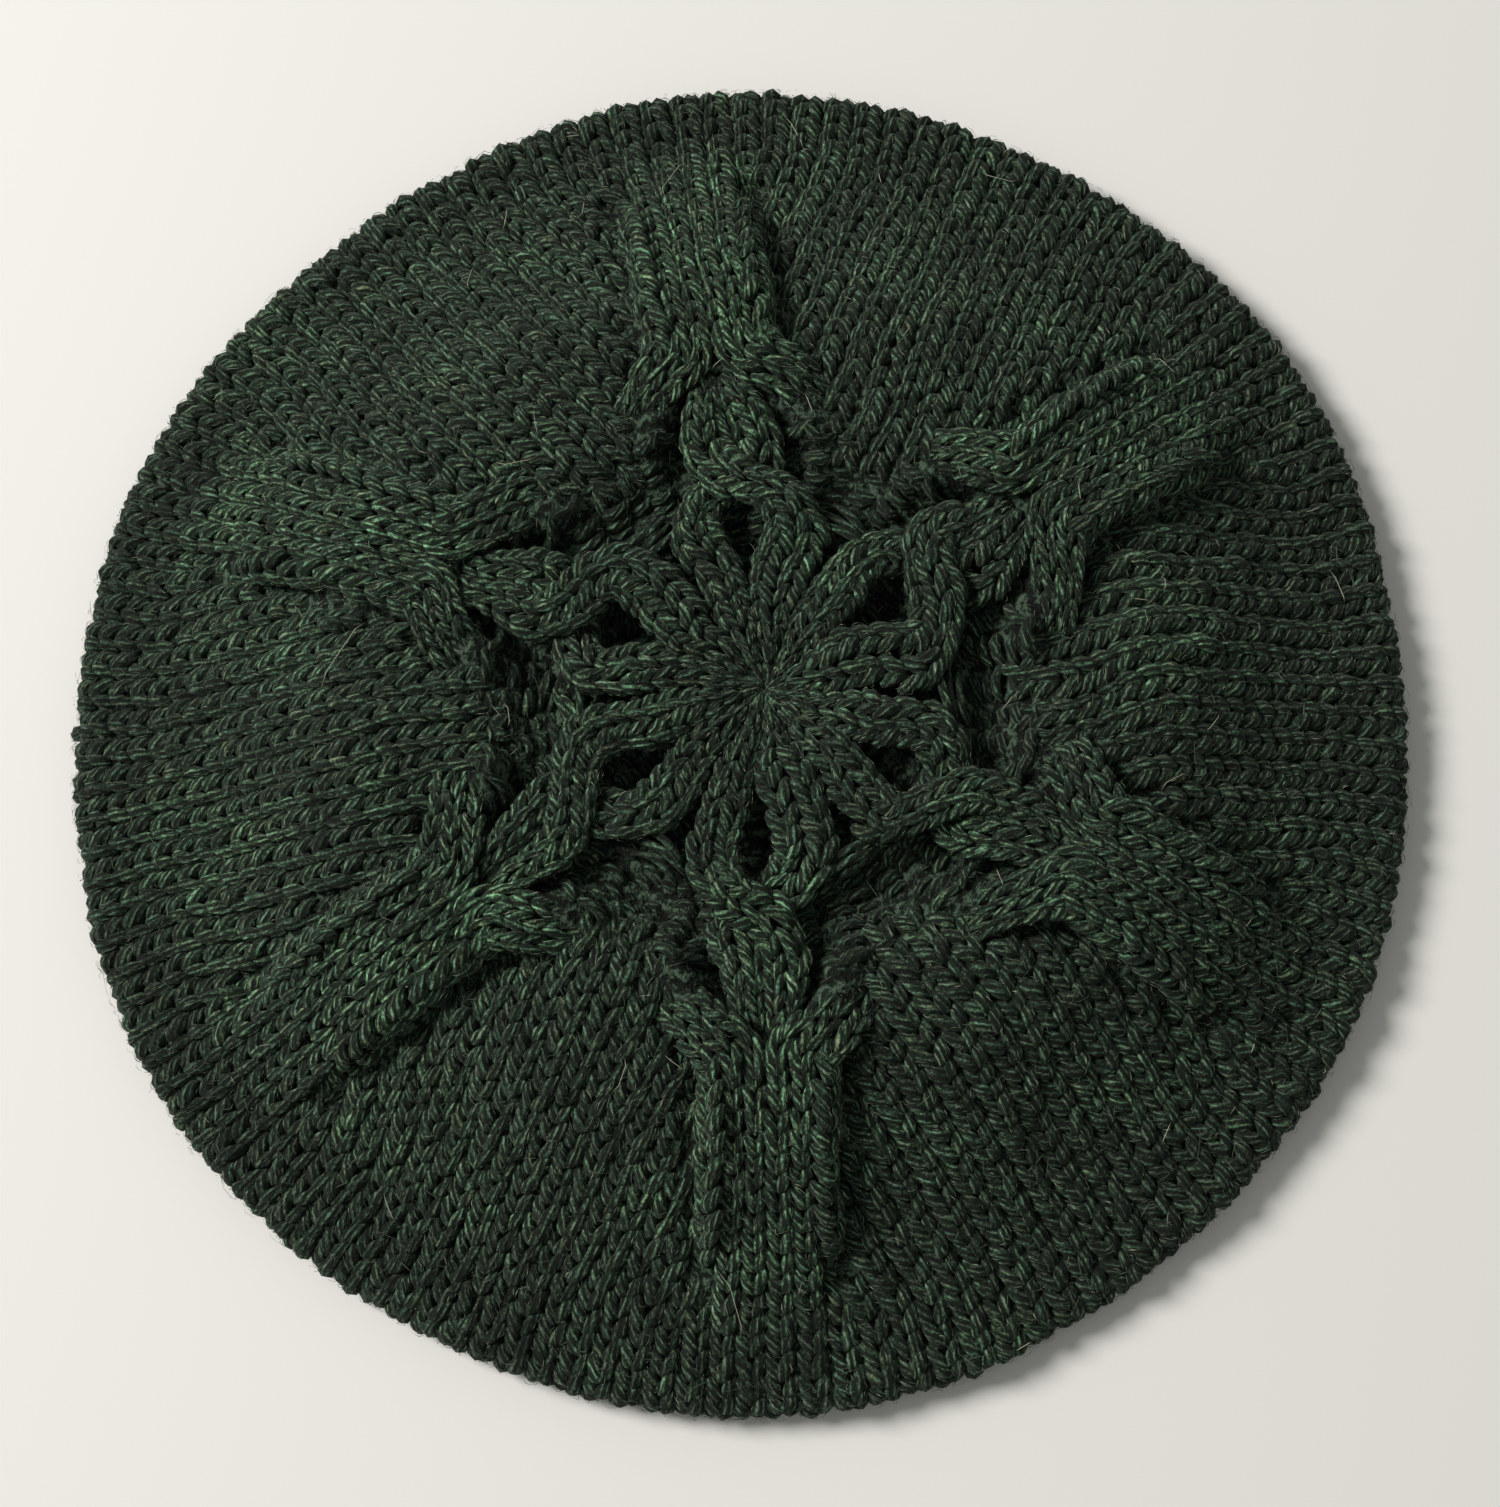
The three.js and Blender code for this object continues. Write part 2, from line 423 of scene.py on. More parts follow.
def hat_meridian():
    """Points down one meridian, from the crown's middle over the rim to the band, and ways outwards."""
    radii = np.linspace(0.0, ROLL_CENTRE, 240)
    crown = np.stack((radii, smooth_rows(CROWN_SECTION, radii)), axis=-1)
    turn = np.linspace(0.0, math.pi, 40)[1:]
    roll = np.stack(
        (ROLL_CENTRE + ROLL_RADIUS * np.sin(turn), ROLL_RADIUS + ROLL_RADIUS * np.cos(turn)), axis=-1
    )
    inwards = np.linspace(ROLL_CENTRE, SEAT_RADIUS, 120)[1:]
    underside = np.stack((inwards, smooth_rows(UNDERSIDE_SECTION, inwards)), axis=-1)
    points = np.concatenate((crown, roll, underside))
    lengths = np.concatenate(((0.0,), np.cumsum(np.linalg.norm(np.diff(points, axis=0), axis=1))))
    steps = np.arange(0.0, lengths[-1], 0.25)
    points = np.stack([np.interp(steps, lengths, points[:, k]) for k in range(2)], axis=-1)
    padded = np.pad(points, ((5, 5), (0, 0)), mode="reflect", reflect_type="odd")
    even = np.ones(11) / 11.0
    points = np.stack([np.convolve(padded[:, k], even, mode="valid") for k in range(2)], axis=-1)
    ways = unit(np.gradient(points, axis=0))
    outward = np.stack((-ways[:, 1], ways[:, 0]), axis=-1)
    return steps, points, outward


MERIDIAN_STEPS, MERIDIAN_POINTS, MERIDIAN_OUTWARD = hat_meridian()
ROLL_TOP = int(np.argmax(MERIDIAN_POINTS[:, 0]))
MERIDIAN_END = float(MERIDIAN_STEPS[-1])


def meridian_length(radius):
    """Length along the crown's meridian at a distance from the axis."""
    return np.interp(radius, MERIDIAN_POINTS[:ROLL_TOP, 0], MERIDIAN_STEPS[:ROLL_TOP])


def shares_at(length):
    """Distance from the axis as a share of the rim's radius, at a length along the crown's meridian."""
    return np.interp(length, MERIDIAN_STEPS[:ROLL_TOP], MERIDIAN_POINTS[:ROLL_TOP, 0]) / RIM_RADIUS


def along_meridian(values, length):
    """Both columns of a table of the meridian, at a length along it."""
    return [np.interp(length, MERIDIAN_STEPS, values[:, k]) for k in range(2)]


def arm_place(side, share):
    """Place across and along an arm of a direction beside it and a distance from the middle."""
    turn = np.radians(side)
    return share * np.sin(turn), share * np.cos(turn)


def sector_lines():
    """Directions of each sector's arm and eye, and of the pockets and middles on both sides of it."""
    arm = STAR_ARMS[:, 0]
    eye = STAR_ARMS[:, 1]
    pocket = STAR_ARMS[:, 2]
    next_arm = np.append(arm[1:], arm[0] + 360.0)
    middle = (arm + next_arm) / 2.0
    before_pocket = np.append(pocket[-1] - 360.0, pocket[:-1])
    before_middle = np.append(middle[-1] - 360.0, middle[:-1])
    return arm, eye, pocket, middle, before_pocket, before_middle


SECTOR_LINES = sector_lines()


def true_angle(sector, side, share):
    """Direction in degrees clockwise from +Y of a place side degrees from a sector's arm."""
    arm, eye, pocket, middle, before_pocket, before_middle = (line[sector] for line in SECTOR_LINES)
    to_arm = smoothstep(share, 0.26, 0.48)
    to_middle = smoothstep(share, 0.36, 0.60)
    here = eye + (arm - eye) * to_arm
    after = pocket + (middle - pocket) * to_middle
    before = before_pocket + (before_middle - before_pocket) * to_middle
    return here + side / SECTOR_HALF * np.where(side > 0, after - here, here - before)


def reach_of(sector, side, share):
    """How far out the inner star is drawn here, as a share of its mean."""
    reach = STAR_ARMS[:, 3]
    beside = reach[(sector + np.where(side > 0, 1, 5)) % 6]
    edge = (side / SECTOR_HALF) ** 2 / 2.0
    here = reach[sector] * (1.0 - edge) + beside * edge
    return here + (1.0 - here) * smoothstep(share, 0.5, 0.7)


def rim_wave(angle, radius):
    """How far the rim's waves carry a point outwards, as a share of its distance from the axis."""
    wave = sum(share * np.cos(np.radians(count * (angle - peak))) for count, share, peak in RIM_WAVES)
    return wave * smoothstep(radius, SEAT_RADIUS, ROLL_CENTRE)


def hand_made(x, y, amount):
    """Small slow shifts of the soft fabric in x, y and z, from a few waves that cross each other."""
    shifts = []
    for turns in ((0.9, 2.3, 4.1), (3.7, 0.4, 5.2), (1.6, 5.9, 2.8)):
        waves = (
            np.sin(x / 4.7 + y / 7.9 + turns[0])
            + np.sin(y / 4.1 - x / 9.3 + turns[1])
            + 0.8 * np.sin(x / 2.6 - y / 3.1 + turns[2])
        )
        shifts.append(waves * amount)
    return shifts


def plan_place(angle, radius, on_crown):
    """Places in plan after the rim's waves and the pull on the crown's middle."""
    turn = np.radians(angle)
    grown = radius * (1.0 + rim_wave(angle, radius))
    pull = np.where(on_crown, np.clip(1.0 - radius / RIM_RADIUS, 0.0, 1.0), 0.0)
    x = HAT_MIDDLE[0] + CROWN_PULL[0] * pull + grown * np.sin(turn)
    y = HAT_MIDDLE[1] + CROWN_PULL[1] * pull + grown * np.cos(turn)
    return x, y


def on_meridian(angle, length, lift):
    """Points in space at a direction, a length along the meridian and a height above the surface."""
    surface = along_meridian(MERIDIAN_POINTS, length)
    outward = along_meridian(MERIDIAN_OUTWARD, length)
    radius = np.maximum(surface[0] + lift * outward[0], 0.0)
    on_crown = length < MERIDIAN_STEPS[ROLL_TOP]
    x, y = plan_place(angle, radius, on_crown)
    shift = hand_made(x, y, star_softness(radius / RIM_RADIUS, on_crown))
    height = surface[1] + lift * outward[1] + shift[2] * 0.7
    return np.stack((x + shift[0], y + shift[1], height), axis=-1)


def star_softness(share, on_crown):
    """How many millimetres the soft fabric wanders: most in the star, none at the rim."""
    in_star = 1.0 - smoothstep(share, 0.36, 0.56)
    return on_crown * (0.10 + 0.34 * in_star) * smoothstep(share, 0.02, 0.12)


def on_star(sector, across, along, lift):
    """Points in space at a place of one sector of the star and a height above the outer surface."""
    share = np.hypot(across, along)
    side = np.degrees(np.arctan2(across, along))
    share = share * reach_of(sector, side, share)
    return on_meridian(true_angle(sector, side, share), meridian_length(share * RIM_RADIUS), lift)


def inside(distance, edge, softness):
    """1 inside an edge and 0 outside it."""
    return 1.0 - smoothstep(distance, edge - softness, edge + softness)


def arm_relief(across, along):
    """Height of an outer arm above the plain fabric, with the valleys on both its sides."""
    across = np.abs(across)
    half = smooth_rows(ARM_EDGE, along)
    rise = smoothstep(along, 0.33, 0.38) * (1.0 - smoothstep(along, 0.70, 0.93))
    top = ARM_HEIGHT * inside(across, half - 0.003, 0.010) * rise
    groove = ARM_GROOVE * np.exp(-((across / 0.014) ** 2)) * (1.0 - smoothstep(along, 0.50, 0.60))
    valley = ARM_VALLEY * np.exp(-(((across - half - 0.013) / 0.012) ** 2))
    valley = valley * smoothstep(along, 0.42, 0.48) * (1.0 - smoothstep(along, 0.74, 0.88))
    return top - groove - valley


def hollow_at(along, across, shape, softness):
    """1 inside a long rounded hollow and 0 outside it."""
    middle, half_length, half_width = shape
    narrow = min(half_length, half_width)
    away = np.hypot((along - middle) / half_length, across / half_width) * narrow
    return inside(away, narrow, softness)


def line_distance(side, radius):
    """Distance from the line between two arms."""
    return radius * np.sin(np.radians(SECTOR_HALF - np.abs(side)))


def pocket_relief(side, radius):
    """Depth of the purl pocket and of the slit on the line between two arms."""
    off_line = line_distance(side, radius)
    hollow = hollow_at(radius, off_line, POCKET_SHAPE, 0.018)
    slit = inside(off_line, 0.012, 0.014) * smoothstep(radius, 0.08, 0.14)
    slit = slit * (1.0 - smoothstep(radius, 0.25, 0.29))
    return -POCKET_DEPTH * hollow - SLIT_DEPTH * slit


def panel_relief(side, radius):
    """Height of the soft swelling of the plain fabric between two arms."""
    rise = smoothstep(radius, 0.35, 0.44) * (1.0 - smoothstep(radius, 0.48, 0.78))
    return PANEL_SWELLING * rise * inside(line_distance(side, radius), 0.085, 0.075)


def ground_relief(across, along):
    """Height of the fabric that lies below the stitches."""
    radius = np.hypot(across, along)
    side = np.degrees(np.arctan2(across, along))
    eye = hollow_at(along, across, EYE_SHAPE, 0.014)
    tongue_half = np.interp(
        along,
        (0.06, 0.13, 0.2, 0.27, 0.33, 0.39, 0.43, 0.456),
        (0.03, 0.066, 0.092, 0.096, 0.076, 0.050, 0.030, 0.0),
    )
    tongue = inside(np.abs(across), tongue_half - 0.008, 0.016) * smoothstep(radius, 0.05, 0.12)
    split_half = np.interp(along, (0.36, 0.40, 0.43, 0.455), (0.1, 0.08, 0.06, 0.03))
    split = inside(np.abs(across), split_half, 0.014) * (1.0 - smoothstep(along, 0.45, 0.48))
    arm = np.where(along < 0.36, 0.0, arm_relief(across, along) * (1.0 - split))
    star = tongue * (1.0 - eye) - EYE_DEPTH * eye - SPLIT_DEPTH * split
    plain = pocket_relief(side, radius) + panel_relief(side, radius)
    dip = -MIDDLE_DIP * np.exp(-((radius / 0.05) ** 2))
    return arm * 0.9 + star + plain * (1.0 - tongue) + dip


class StitchColumns:
    """Columns of stitches, sampled four times a row: points, ways across and ways out of the fabric."""

    def __init__(self):
        self.points = []
        self.across = []
        self.out = []
        self.starts = []
        self.size = 0

    def add(self, left, middle, right):
        """Adds one column from its two edges and its middle, from its first row on."""
        across = right - left
        along = np.gradient(middle, axis=0)
        self.points.append(middle)
        self.across.append(across)
        self.out.append(unit(np.cross(along, across)))
        self.starts.append(self.size)
        self.size += len(middle)
        return len(self.starts) - 1

    def finish(self):
        """Joins the samples of all the columns."""
        self.points = np.concatenate(self.points)
        self.across = np.concatenate(self.across)
        self.out = np.concatenate(self.out)

    def at(self, place):
        """Point, way across and way out at a place, in samples from the very first."""
        low = np.clip(np.floor(place).astype(int), 0, self.size - 2)
        share = (place - low)[..., None]
        return tuple(
            values[low] * (1.0 - share) + values[low + 1] * share
            for values in (self.points, self.across, self.out)
        )


def spindle(sides, rings):
    """A closed spindle: share along and angle of each vertex, its thickness and the triangles."""
    shape = bmesh.new()
    bmesh.ops.create_uvsphere(shape, u_segments=sides, v_segments=rings, radius=1.0)
    bmesh.ops.triangulate(shape, faces=shape.faces[:])
    shape.verts.index_update()
    corners = np.array([tuple(vertex.co) for vertex in shape.verts])
    triangles = np.array([[vertex.index for vertex in face.verts] for face in shape.faces])
    shape.free()
    share = (corners[:, 2] + 1.0) / 2.0
    angle = np.mod(np.arctan2(corners[:, 1], corners[:, 0]) + math.pi / 2, math.tau) - math.pi / 2
    taper = np.interp(share, (0.0, 0.35, 1.0), (1.0, 1.06, 0.85))
    width = np.hypot(corners[:, 0], corners[:, 1]) ** 0.5 * taper
    return share, angle, width, triangles


FINE_SPINDLE = spindle(6, 7)
COARSE_SPINDLE = spindle(5, 4)
BUMP_SPINDLE = spindle(5, 5)
FIBRE_SPINDLE = spindle(3, 3)
HAIR_SPINDLE = spindle(3, 2)
THREAD_SPINDLE = spindle(7, 16)

# Twist of the yarn in radians a millimetre, its width against its height, and its range of thickness
YARN_TURN = 0.42
YARN_FLATNESS = 1.06
YARN_RANGE = (0.45, 1.03)
# How much longer than wide the streaks of dye are, and how far apart the dyes of two stitches are
FIBRE_STRETCH = 3.2
DYE_SHIFT = 40.0
# How far unevenness moves a stitch along, across and out, and changes its thickness
UNEVEN_SHARES = np.array((0.8, 0.7, 4.0, 1.0))
# Points along a stitch, and pale fibres among the loose ones
LEG_SAMPLES = 11
STRAY_FIBRES = 45


def yarn_pieces(template, path, up, radius, dye):
    """Joined short lengths of yarn: their vertices, triangles and the facts their material reads.

    path holds points at even shares along each piece, up the ways that face out of the fabric.
    """
    share, angle, width, triangles = template
    steps = path.shape[1] - 1
    place = share * steps
    low = np.clip(np.floor(place).astype(int), 0, steps - 1)
    part = (place - low)[None, :, None]
    way = unit(np.gradient(path, axis=1))
    side = unit(np.cross(way, up))
    top = np.cross(side, way)

    def along_piece(values):
        return values[:, low] * (1.0 - part) + values[:, low + 1] * part

    centre = along_piece(path)
    wide = -np.cos(angle)[None, :, None] * YARN_FLATNESS
    high = np.sin(angle)[None, :, None] / YARN_FLATNESS
    ring = along_piece(side) * wide + along_piece(top) * high
    thick = radius[:, None, None] * width[None, :, None]
    vertices = centre + ring * thick
    count = len(path)
    length = np.linalg.norm(np.diff(path, axis=1), axis=2).sum(axis=1)
    passed = share[None, :] * length[:, None]
    turn = angle[None, :] * radius[:, None] + YARN_TURN * passed * radius[:, None]
    fibre = np.stack((turn, (passed - turn * 0.5) / FIBRE_STRETCH, np.zeros_like(turn)), axis=-1)
    fibre = fibre + dye[:, None, 1:4] * DYE_SHIFT
    faces = (triangles[None] + (np.arange(count) * len(share))[:, None, None]).reshape(-1, 3)
    # Painted occlusion shade: each piece is darker on its under side and towards its ends, where other
    # yarn shades it
    occlusion_shade = (np.sin(angle) * 0.5 + 0.5) * (4.0 * share * (1.0 - share)) ** 0.5
    facts = (occlusion_shade[None, :], dye[:, None, 0], dye[:, None, 4])
    shade = np.stack([np.broadcast_to(fact, (count, len(share))) for fact in facts], axis=-1)
    return vertices.reshape(-1, 3), faces, fibre.reshape(-1, 3), shade.reshape(-1, 3)


def stitch_paths(columns, starts, shape, signs, yarn, uneven, random):
    """Paths, outward ways and radii of one shape of leg or bump, one for each start and sign."""
    rows = smooth_rows(shape, np.linspace(0.0, 1.0, LEG_SAMPLES))
    jitter = random.normal(0.0, uneven, (len(starts), 4)) * UNEVEN_SHARES
    along = starts[:, None] + (rows[None, :, 0] + jitter[:, :1]) * ROW_STEPS
    point, across, out = columns.at(along)
    sideways = signs[:, None] * rows[None, :, 1] + jitter[:, 1:2]
    lift = rows[None, :, 2] + jitter[:, 2:3]
    width = np.linalg.norm(across, axis=-1)
    radius = yarn / 2.0 * (1.0 + jitter[:, 3])
    radius = radius * np.clip(width.mean(axis=1) / (2.0 * yarn), *YARN_RANGE)
    raised = out * lift[..., None] * (radius[:, None, None] * 2.0 / yarn)
    return point + across * sideways[..., None] + raised, out, radius


def stitch_pieces(template, stitches, relief_shading, random):
    """Yarn pieces along the paths of stitches, with painted light and shade by relief: raised parts
    lighter, sunken ones darker.
    """
    path, out, radius = stitches
    dye = random.random((len(path), 5))
    # Painted light and shade by relief, read by the material from the shade's Z
    dye[:, 4] = relief_shading
    return yarn_pieces(template, path, out, radius, dye)


def hair_pieces(stitches, per_leg, random):
    """Short fibres that follow the twist of the yarn and stand a little off its surface."""
    path, out, radius = (np.repeat(values, per_leg, axis=0) for values in stitches)
    count = len(path)
    last = path.shape[1] - 1
    spacing = np.linalg.norm(np.diff(path, axis=1), axis=2).mean(axis=1)
    way = unit(np.gradient(path, axis=1))
    side = unit(np.cross(way, out))
    top = np.cross(side, way)
    reach = random.uniform(0.45, 1.15, count)
    ends = np.array((-1.0, 0.0, 1.0))
    passed = ends * reach[:, None] + random.uniform(0.2, 0.8, (count, 1)) * last * spacing[:, None]
    angle = random.uniform(0.1, math.pi - 0.1, (count, 1)) - YARN_TURN * ends * reach[:, None]
    angle = angle + random.normal(0.0, 0.22, (count, 3))
    place = np.clip(passed / spacing[:, None], 0.0, last)
    low = np.minimum(place.astype(int), last - 1)
    share = (place - low)[..., None]
    rows = np.arange(count)[:, None]

    def at(values):
        return values[rows, low] * (1.0 - share) + values[rows, low + 1] * share

    wide = -np.cos(angle)[..., None] * YARN_FLATNESS
    high = np.sin(angle)[..., None] / YARN_FLATNESS
    stand = radius[:, None, None] * random.uniform(1.0, 1.3, (count, 3, 1))
    points = at(path) + (at(side) * wide + at(top) * high) * stand
    thick = random.uniform(0.045, 0.08, count)
    return yarn_pieces(HAIR_SPINDLE, points, at(out), thick, random.random((count, 5)))


def joined(parts):
    """Several sets of yarn pieces as one."""
    offset = 0
    faces = []
    for vertices, triangles, _, _ in parts:
        faces.append(triangles + offset)
        offset += len(vertices)
    return (
        np.concatenate([part[0] for part in parts]),
        np.concatenate(faces),
        np.concatenate([part[2] for part in parts]),
        np.concatenate([part[3] for part in parts]),
    )


def mesh_of(shape, name):
    """The mesh of a finished bmesh."""
    mesh = bpy.data.meshes.new(name)
    shape.to_mesh(mesh)
    shape.free()
    return mesh


def add_piece(mesh, material, node):
    """An object of a finished mesh, riding on the hat and standing for one of its solids."""
    mesh.shade_smooth()
    mesh.materials.append(material)
    piece = bpy.data.objects.new(mesh.name, mesh)
    bpy.context.scene.collection.objects.link(piece)
    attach(piece, "root")
    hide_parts(node)


def add_yarn(name, pieces, material, node="crown_shell"):
    """A piece of the hat from joined lengths of yarn in millimetres."""
    vertices, triangles, fibre, shade = pieces
    vertices[:, 2] = np.maximum(vertices[:, 2], 0.02)
    mesh = bpy.data.meshes.new(name)
    mesh.vertices.add(len(vertices))
    mesh.vertices.foreach_set("co", (vertices * METRES).astype(np.float32).ravel())
    mesh.loops.add(triangles.size)
    mesh.loops.foreach_set("vertex_index", triangles.astype(np.int32).ravel())
    mesh.polygons.add(len(triangles))
    mesh.polygons.foreach_set("loop_start", np.arange(0, triangles.size, 3, dtype=np.int32))
    mesh.update(calc_edges=True)
    for label, values in (("fibre", fibre), ("shade", shade)):
        attribute = mesh.attributes.new(label, "FLOAT_VECTOR", "POINT")
        attribute.data.foreach_set("vector", values.astype(np.float32).ravel())
    add_piece(mesh, material, node)


def rim_columns():
    """The rim's columns, from the band out under the hat and up to the arms' narrow ends."""
    columns = StitchColumns()
    end = meridian_length(ARM_START * RIM_RADIUS)
    rows = int((MERIDIAN_END - SEAM_GAP - end) / ROW_HEIGHT)
    start = end + rows * ROW_HEIGHT
    lengths = np.arange(start + ROW_HEIGHT, end - ROW_HEIGHT * 1.5, -ROW_HEIGHT / ROW_STEPS)
    half = SECTOR_HALF / RIM_COLUMNS
    for sector in range(6):
        for number in range(RIM_COLUMNS):
            side = (number + 0.5) / RIM_COLUMNS * 2 * SECTOR_HALF - SECTOR_HALF
            edges = [
                on_meridian(
                    true_angle(sector, np.full(len(lengths), side + step), 1.0),
                    np.minimum(lengths, MERIDIAN_END),
                    -FABRIC_INSET,
                )
                for step in (-half, 0.0, half)
            ]
            columns.add(*edges)
    columns.finish()
    return columns, rows


def crown_shares(end):
    """Samples of a column inwards from the arms' narrow ends, as shares of the rim's radius."""
    first = meridian_length(ARM_START * RIM_RADIUS) + ROW_HEIGHT
    last = meridian_length(end * RIM_RADIUS) - 2 * ROW_HEIGHT
    return shares_at(np.arange(first, last, -ROW_HEIGHT / ROW_STEPS))


def row_samples(count):
    """The samples at which the rows of a column begin, without its first row and its end."""
    return range(ROW_STEPS, count - 2 * ROW_STEPS + 1, ROW_STEPS)


def panel_side(number, share):
    """Degrees from the line between two arms of one column of a panel."""
    radial = (number + 0.5) * 2 * SECTOR_HALF / RIM_COLUMNS
    even = np.degrees(np.arcsin(np.clip((number + 0.5) * PANEL_PITCH / share, 0.0, 0.99)))
    blend = smoothstep(share, 0.78, 0.98)
    return radial * blend + even * (1.0 - blend)


def panel_columns():
    """The plain columns between the arms, and which of their rows show."""
    columns = StitchColumns()
    shares = crown_shares(PANEL_END)
    stitches = []
    for sector in range(6):
        for hand in (-1, 1):
            for number in range(PANEL_COLUMNS):
                edges = []
                places = []
                for step in (0.5, 0.0, -0.5):
                    side = hand * (SECTOR_HALF - panel_side(number + step * hand, shares))
                    across, along = arm_place(side, shares)
                    lift = arm_relief(across, along) + pocket_relief(side, shares)
                    lift = np.minimum(lift, 0.6) + panel_relief(side, shares) - FABRIC_INSET
                    edges.append(on_star(sector, across, along, lift))
                    places.append((np.abs(across), along))
                column = columns.add(*edges)
                beside, along = places[1]
                widened = smooth_rows(ARM_COLUMNS, along)
                edge = np.where(along > ARM_WIDENS, widened, smooth_rows(ARM_EDGE, along)) - 0.003
                end = PANEL_END + PANEL_END_STEP * number
                for sample in row_samples(len(shares)):
                    if shares[sample] >= end and beside[sample] >= edge[sample]:
                        stitches.append((columns.starts[column] + sample, sector))
    columns.finish()
    return columns, np.array(stitches)


def arm_columns():
    """The six columns of each arm, from its narrow end in to its split."""
    columns = StitchColumns()
    shares = crown_shares(ARM_SAMPLED)
    half = smooth_rows(ARM_COLUMNS, shares)
    stitches = []
    for sector in range(6):
        for number in range(-ARM_HALF_COLUMNS, ARM_HALF_COLUMNS):
            edges = []
            for step in (0.0, 0.5, 1.0):
                across = (number + step) / ARM_HALF_COLUMNS * half
                along = np.sqrt(np.maximum(shares**2 - across**2, 0.01))
                lift = arm_relief(across, along) - FABRIC_INSET
                edges.append(on_star(sector, across, along, lift))
            column = columns.add(*edges)
            for sample in row_samples(len(shares)):
                if shares[sample] > ARM_END:
                    stitches.append((columns.starts[column] + sample, sector))
    columns.finish()
    return columns, np.array(stitches)


def cable_columns(table, hand, count, row_height, doming, first_row=0, droop=0.0):
    """Columns of the cables that follow a table of places, on one hand of every arm."""
    columns = StitchColumns()
    alongs = np.linspace(table[0, 0], table[-1, 0], 400)
    centre = np.stack((smooth_rows(table, alongs)[:, 0], alongs), axis=-1)
    steps = np.linalg.norm(np.diff(centre, axis=0), axis=1) * RIM_RADIUS
    travelled = np.concatenate(((0.0,), np.cumsum(steps)))
    places = np.arange(0.0, travelled[-1], row_height / ROW_STEPS)
    alongs = np.interp(places, travelled, alongs)
    rows = smooth_rows(table, alongs)
    centre = np.stack((rows[:, 0], alongs), axis=-1)
    way = unit(np.gradient(centre, axis=0))
    across_way = np.stack((-way[:, 1], way[:, 0]), axis=-1)
    stitches = []
    for sector in range(6):
        for number in range(count):
            edges = []
            for step in (0.0, 0.5, 1.0):
                spread = ((number + step) / count * 2.0 - 1.0) * hand
                place = centre + across_way * (spread * rows[:, 1])[:, None]
                lift = rows[:, 2] + doming * (1.0 - spread * spread) - FABRIC_INSET
                lift = lift - droop * STAR_ARMS[sector, 4] * (1.0 - smoothstep(alongs, *DROOP_RANGE))
                edges.append(on_star(sector, place[:, 0] * hand, place[:, 1], lift))
            column = columns.add(*edges)
            for row in range(first_row, (len(places) - ROW_STEPS) // ROW_STEPS):
                stitches.append((columns.starts[column] + row * ROW_STEPS + ROW_STEPS // 2, sector))
    columns.finish()
    return columns, np.array(stitches)


def purl_columns():
    """Purl stitches of the ground under the star, which show in its eyes, pockets and slits."""
    columns = StitchColumns()
    stitches = []
    places = np.arange(PURL_START, PURL_END, -PURL_ROW / ROW_STEPS / RIM_RADIUS)
    for sector in range(6):
        for number in range(PURL_COLUMNS):
            edges = []
            for step in (0.0, 0.5, 1.0):
                side = np.full(len(places), ((number + step) / PURL_COLUMNS * 2.0 - 1.0) * SECTOR_HALF)
                across, along = arm_place(side, places)
                edges.append(on_star(sector, across, along, ground_relief(across, along) - PURL_INSET))
            column = columns.add(*edges)
            for row in range(1, len(places) // ROW_STEPS):
                sample = row * ROW_STEPS
                if places[sample] >= PURL_THINNED or (row + number) % 2 == 0:
                    stitches.append((columns.starts[column] + sample, sector))
    columns.finish()
    return columns, np.array(stitches)


def bridge_paths(random):
    """Paths of the loose threads that cross the inner edge of each pocket."""
    shares = np.linspace(-1.0, 1.0, 15)
    paths = []
    for sector in range(6):
        shift = random.uniform(-0.018, 0.018)
        for thread in range(3):
            reach = random.uniform(0.034, 0.056)
            start = 0.258 + 0.012 * thread + random.normal(0.0, 0.003)
            slant = random.normal(0.0, 0.006)
            radius = start + slant * shares + random.uniform(0.004, 0.016) * shares**2
            off_line = np.degrees(np.arcsin((shares * reach + shift) / radius))
            left = off_line < 0
            sectors = np.where(left, sector, (sector + 1) % 6)
            side = np.where(left, SECTOR_HALF + off_line, off_line - SECTOR_HALF)
            across, along = arm_place(side, radius)
            lift = 2.0 - 0.5 * thread - 2.2 * shares**2 + random.normal(0.0, 0.3)
            paths.append(on_star(sectors, across, along, lift))
    return np.array(paths)


def fibre_paths(count, random):
    """Paths of the fine loose fibres that stand off the crown and the rim."""
    reach = MERIDIAN_STEPS[ROLL_TOP] + 3.0
    length = reach * np.sqrt(random.random(count))
    angle = random.uniform(0.0, 360.0, count)
    heading = random.uniform(0.0, math.tau, count)
    bend = random.normal(0.0, 1.1, count)
    size = np.clip(random.lognormal(0.75, 0.45, count), 1.0, 8.0)
    size[:STRAY_FIBRES] *= 2.6
    rise = random.uniform(0.2, 1.3, count)
    shares = np.linspace(0.0, 1.0, 5)
    turn = heading[:, None] + bend[:, None] * shares
    step = size[:, None] / 4.0
    along = length[:, None] + np.cumsum(step * np.cos(turn), axis=1)
    radius = np.interp(along, MERIDIAN_STEPS, MERIDIAN_POINTS[:, 0])
    sideways = np.cumsum(step * np.sin(turn), axis=1)
    angles = angle[:, None] + np.degrees(sideways / np.maximum(radius, 6.0))
    relief = star_relief_at(angles.ravel(), shares_at(along).ravel()).reshape(angles.shape)
    lift = relief - 0.5 + rise[:, None] * np.sin(math.pi * (0.1 + 0.7 * shares)) + 0.3
    return on_meridian(angles, np.abs(along), lift)


